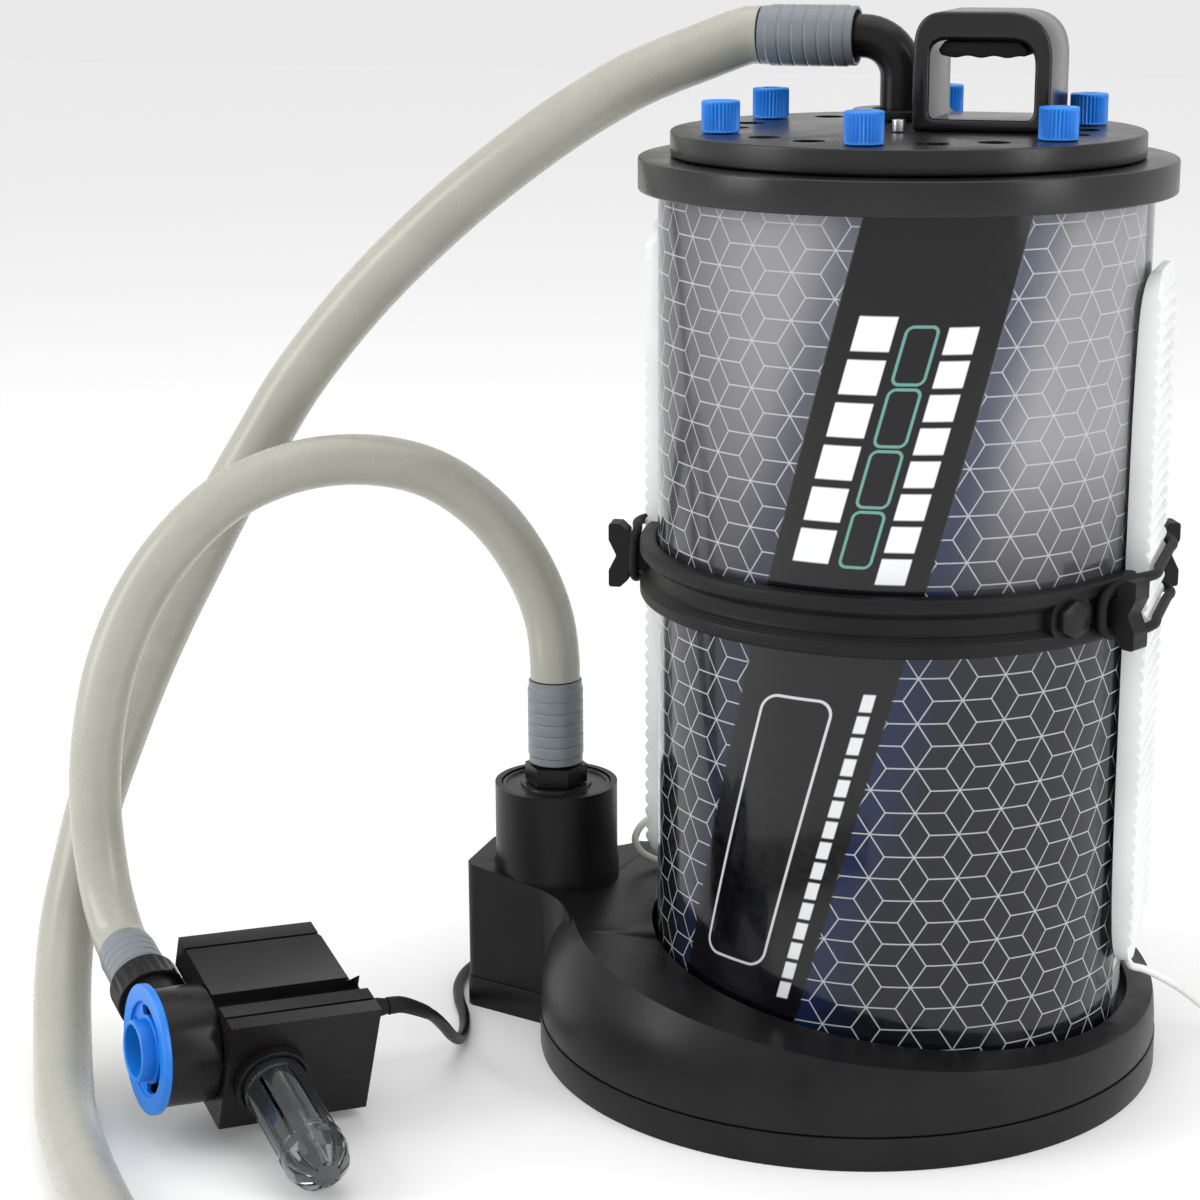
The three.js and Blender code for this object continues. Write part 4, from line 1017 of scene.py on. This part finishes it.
def make_cuffs():
    at_elbow = shifted(-29.5, ELBOW.y, ELBOW.z) @ AXIS_TO_MINUS_X
    make_cuff("outlet_cuff", at_elbow, 10, 11.6, 37, 6, "lid")
    make_cuff("inlet_cuff", shifted(INLET_X, 0, 103.1), 9.5, 11.2, 34.2, 6)
    make_cuff("pump_cuff", PUMP_OUTLET @ shifted(0, 0, 65), 9.4, 11, 21.5, 4)


# ---- Clamp ring and rubber loops ----


def clamp_posts():
    """Four posts that a strap hooks behind, two beside each lamp."""
    side = [(94.5, -5.5), (102.8, -5.5), (102.8, -9.5), (106, -12.5), (110.5, -12.5), (110.5, -6)]
    outline = fillet([*side, (107.5, 0), *[(x, -z) for x, z in reversed(side)]], 1.2)
    angles = [angle for lamp in LAMPS.values() for angle in lamp["posts"]]
    places = [spun(angle - 90) @ shifted(0, 0, RING_MID) for angle in angles]
    return [prism(outline, -4.2, 4.2, place @ SIDEWAYS) for place in places]


def make_clamp_ring():
    """A grooved band round the tube, open where a lamp passes, with a screw in its boss."""
    inner, rim, groove, low, high = 90.95, 97.6, 93.8, RING_LOW, RING_HIGH
    band = lathe([(inner, low), (rim, low), (rim, low + 5), (groove, low + 8), (groove, high - 8),
                  (rim, high - 5), (rim, high), (inner, high)], soften=1.6)
    gates = []
    for lamp in LAMPS.values():
        gate = block((80, -28, low - 5), (120, 28, high + 5), spun(lamp["angle"] - 90))
        gates.append(cut(gate, rod(91.6, low - 6, high + 6, None, ROUND)))
    boss = spun(51 - 90) @ shifted(0, 0, RING_MID) @ AXIS_TO_X
    posts = clamp_posts()
    body = join(cut(band, *gates), rod(9.5, 92.5, 97.4, boss, 64), *posts)
    body = soften(cut(body, rod(3.8, 92, 100, boss)), 0.7, 2, 40)
    part(body, "clamp_ring", PRINTED)
    screw = join(prism(hexagon(7.2), 97.7, 100.4, boss), rod(3.2, 92.4, 98, boss))
    part(soften(screw, 0.4, 2), "clamp_screw", FITTING, "clamp_screw")


def make_strap_loop(side, number):
    """Rubber loop: hooked behind the two posts of a lamp and stretched over its back."""
    lamp = LAMPS[side]
    reach = abs(lamp["posts"][0] - lamp["posts"][1]) / 2
    turn = spun(lamp["angle"] - 90)
    strand, under_hook, across, hook_radius, thickness = 9.4, 5.5, 99.8, 100.2, 1.9
    levels = [strand, strand, strand, under_hook, -under_hook, -strand, -strand, -strand]
    points = []
    for way in (1, -1):
        hook = []
        for offset in (-1, 4.4):
            a = math.radians(reach + offset)
            hook.append((hook_radius * math.cos(a), way * hook_radius * math.sin(a)))
        arm = [(across, way * 14), (across, way * 25.6), *hook]
        for spot, level in zip(arm + arm[::-1], levels):
            points.append(turn @ Vector((*spot, RING_MID + level * way)))
    body = tube(smooth_line(points, 2.0, closed=True), thickness, 16, closed=True)
    part(body, f"strap_loop_{number}", RUBBER)


# ---- Lamps ----


def rounded_plate(low, high, half, corner, start, end, place):
    """A plate with rounded corners drawn as [y, z], from start to end along X."""
    outline = fillet([(-half, low), (half, low), (half, high), (-half, high)], corner, steps=10)
    return prism(outline, start, end, place @ OUTWARDS)


def lamp_outline(length, lip, back, ribs):
    """A lamp from the side: a front that curves in to its lip at both ends, and a ribbed back."""
    taper, pitch, waves = 85, 5.4, 5
    shoulder = back - 1.2
    front = []
    for i in range(19):
        t = i / 18
        front.append((shoulder - (shoulder - lip) * math.sqrt(1 - (1 - t) ** 2), taper * t * t))
    outline = front + [(x, length - z) for x, z in reversed(front)] + [(back, length)]
    count = int((length - 18) / pitch)
    first = (length - count * pitch) / 2
    for i in range(count, 0, -1):
        for k in range(waves):
            swell = (ribs - back) * math.sin(math.pi * k / waves) ** 0.7
            outline.append((back + swell, first + i * pitch - pitch * k / waves))
    return outline + [(back, first), (back, 0)]


def make_lamp(side):
    """White housing with its window and cable outlet, drawn from the lamp's foot upwards."""
    place = spun(LAMPS[side]["angle"] - 90) @ shifted(0, 0, LAMPS[side]["bottom"])
    rides = f"lamp_{side}"
    length, half, lip, back, ribs = 262, 25, 88.95, 96, 97.5
    shell = prism(lamp_outline(length, lip, back, ribs), -half, half, place @ SIDEWAYS)
    combine(shell, [rounded_plate(0, length, half, 17, lip - 1, ribs + 1, place)], "INTERSECT")
    cut(shell, rounded_plate(5, length - 5, half - 1.6, 13, lip - 2, 94.5, place))
    part(soften(shell, 0.5, 2, 50), f"lamp_housing_{side}", LAMP_WHITE, rides)
    window = soften(rounded_plate(35, length - 35, half - 2, 4, 92, 93, place), 0.25, 2)
    part(window, f"lamp_diffuser_{side}", WINDOW, rides)
    outlet = [(0, -3.4), (2, -3.4), (2.6, -0.3), (0, -0.3)]
    gland = lathe(outlet, place @ shifted(LAMP_CABLE_RADIUS, 0, 0), 24, 0.4)
    part(gland, f"lamp_gland_{side}", LAMP_WHITE, rides)
    repaint(f"led_board_{side}", BOARD)


# ---- Pump ----


def make_pump_body():
    """Box with a channel and two seams along its top, and places for its chamber and fittings."""
    start, end, above = -1, PUMP_LENGTH + 1, 1
    tools = [
        block((start, 14, -4.5), (end, 22, above), PUMP),
        block((start, 51.4, -2), (end, 52.6, above), PUMP),
        block((start, 6.4, -1.2), (end, 7.6, above), PUMP),
        block((53, 22, -7), (end, PUMP_DEPTH + 1, above), PUMP),
        rod(8.6, -1, 42, PUMP_AXIS),
        rod(6, -12, 1, PUMP_INLET),
        rod(13.8, 41, 62, PUMP_OUTLET, 64),
    ]
    box = block((0, 0, -PUMP_HEIGHT), (PUMP_LENGTH, PUMP_DEPTH, 0), PUMP)
    body = soften(cut(box, *tools), 0.9, 3)
    piece(body, "pump_body_shell", HOUSING, ["pump_body"])


def make_pump_head():
    """Cup round the impeller with its spout, the locking collar on the spout, and the barb."""
    hole, wall, back, rim = 9, 21.6, -0.3, -19.5
    cup = [(hole, back), (wall, back), (wall, rim), (19.1, rim), (19.1, -3), (hole, -3)]
    shell = lathe(cup, PUMP_AXIS, 96, 0.5)
    clearances = [rod(20.6, -30, 0, PUMP_AXIS, 96), rod(24.4, -30, rim, PUMP_AXIS, 96)]
    spout = cut(rod(11.3, 42, 52.6, PUMP_OUTLET, 64), *clearances)
    bore = rod(6.4, 34, 60, PUMP_OUTLET)
    shell = soften(cut(join(shell, spout), bore), 0.5, 2)
    piece(shell, "pump_chamber_shell", HOUSING, ["pump_chamber"])

    def grip(a, z):
        return 1 - 0.04 * (0.5 + 0.5 * math.cos(20 * a)) if 54.5 < z < 63 else 1

    inner, outer = 6.4, 13.2
    collar = [(inner, 53), (outer, 53), (outer, 55), (outer, 62.5), (outer, 64.4), (9.6, 64.4),
              (9.6, 56), (inner, 56)]
    collar = lathe(collar, PUMP_OUTLET, 160, 0.6, grip)
    part(collar, "lock_collar", FITTING, "lock_collar")
    barb = [(6, 56.4), (9.2, 56.4), (9.2, 64), (8, 65), (9.1, 67), (8, 75), (9.1, 76), (8, 84),
            (7.6, 86), (6, 86)]
    barb = lathe(barb, PUMP_OUTLET, SMALL, 0.3)
    part(barb, "pump_barb", FITTING)


def make_flow_ring():
    """Blue disc on the cup's open end, with three curved slots and a short tube in the middle."""
    rim, face, step, tip = 23.8, -22.6, -21.2, -27
    profile = [(9.5, -19.8), (rim, -19.8), (rim, face), (22.9, face), (17.4, face), (17.4, step),
               (11.3, step), (11.3, tip), (9.5, tip)]
    plate = lathe(profile, PUMP_AXIS, 120, 0.55)
    slots = []
    for first in (20, 140, 260):
        arc = [math.radians(first + 85 * k / 14) for k in range(15)]
        outline = [(16.2 * math.cos(a), 16.2 * math.sin(a)) for a in arc]
        outline += [(12.6 * math.cos(a), 12.6 * math.sin(a)) for a in reversed(arc)]
        slots.append(prism(outline, -30, -10, PUMP_AXIS))
    ring = soften(cut(plate, *slots), 0.3, 2)
    part(ring, "flow_ring", BLUE, "flow_ring")


def make_strainer():
    """Clear finger with two beads, long slots in its wall and short ones round its tip."""
    seat = [(6.2, 0.3), (14, 0.3), (14, 5), (12.4, 5), (12.4, 2.6), (6.2, 2.6)]
    seat = lathe(seat, PUMP_INLET, 64, 0.4)
    part(seat, "strainer_seat", HOUSING)
    outside = [(0, 58.7), (5.5, 57.8), (10.2, 53.5), (12, 48), (12, 46.6), (11.7, 46), (11.7, 43.4),
               (12, 43), (12, 41.6), (11.6, 41), (11.6, 8.6), (12, 8), (12, 3)]
    inside_wall = [(10.6, 3), (10.6, 47), (9, 52.6), (5, 56.3), (0, 57.2)]
    finger = lathe([*outside, *inside_wall], PUMP_INLET, 96, 0.3)
    slots = [block((9, -0.7, 9), (14, 0.7, 44), PUMP_INLET @ spun(15 + i * 60)) for i in range(6)]
    slots += [block((4.6, -0.45, 50), (14, 0.45, 60), PUMP_INLET @ spun(i * 36)) for i in range(10)]
    finger = soften(cut(finger, *slots), 0.15, 1)
    part(finger, "pump_strainer", SMOKY, "strainer")


def make_pump_gland():
    profile = [(0, 0.3), (3.6, 0.3), (3.6, 2.4), (2.9, 6), (0, 6)]
    gland = lathe(profile, PUMP @ shifted(*PUMP_GLAND) @ AXIS_TO_X, SMALL, 0.5)
    part(gland, "cable_gland", RUBBER)


def finish_inner_nodes():
    """Parts inside the others keep their CAD shape."""
    repaint("flow_plate", GREY)
    repaint("lid_seal", RUBBER)
    repaint("outlet_screen", GREY)
    repaint("impeller", WHITE)
    repaint("impeller_shaft", CERAMIC)


make_camera()
make_studio()
make_hoses()
make_pump_lead()
make_lamp_lead("right")
make_lamp_lead("left")
make_base()
make_inlet()
make_tube()
make_flange()
make_lid()
for screw_number in range(1, SCREW_COUNT + 1):
    make_thumb_screw(screw_number)
make_handle()
make_elbow()
make_vent_screw()
make_cuffs()
make_clamp_ring()
make_strap_loop("right", 1)
make_strap_loop("left", 2)
make_lamp("right")
make_lamp("left")
make_pump_body()
make_pump_head()
make_flow_ring()
make_strainer()
make_pump_gland()
finish_inner_nodes()
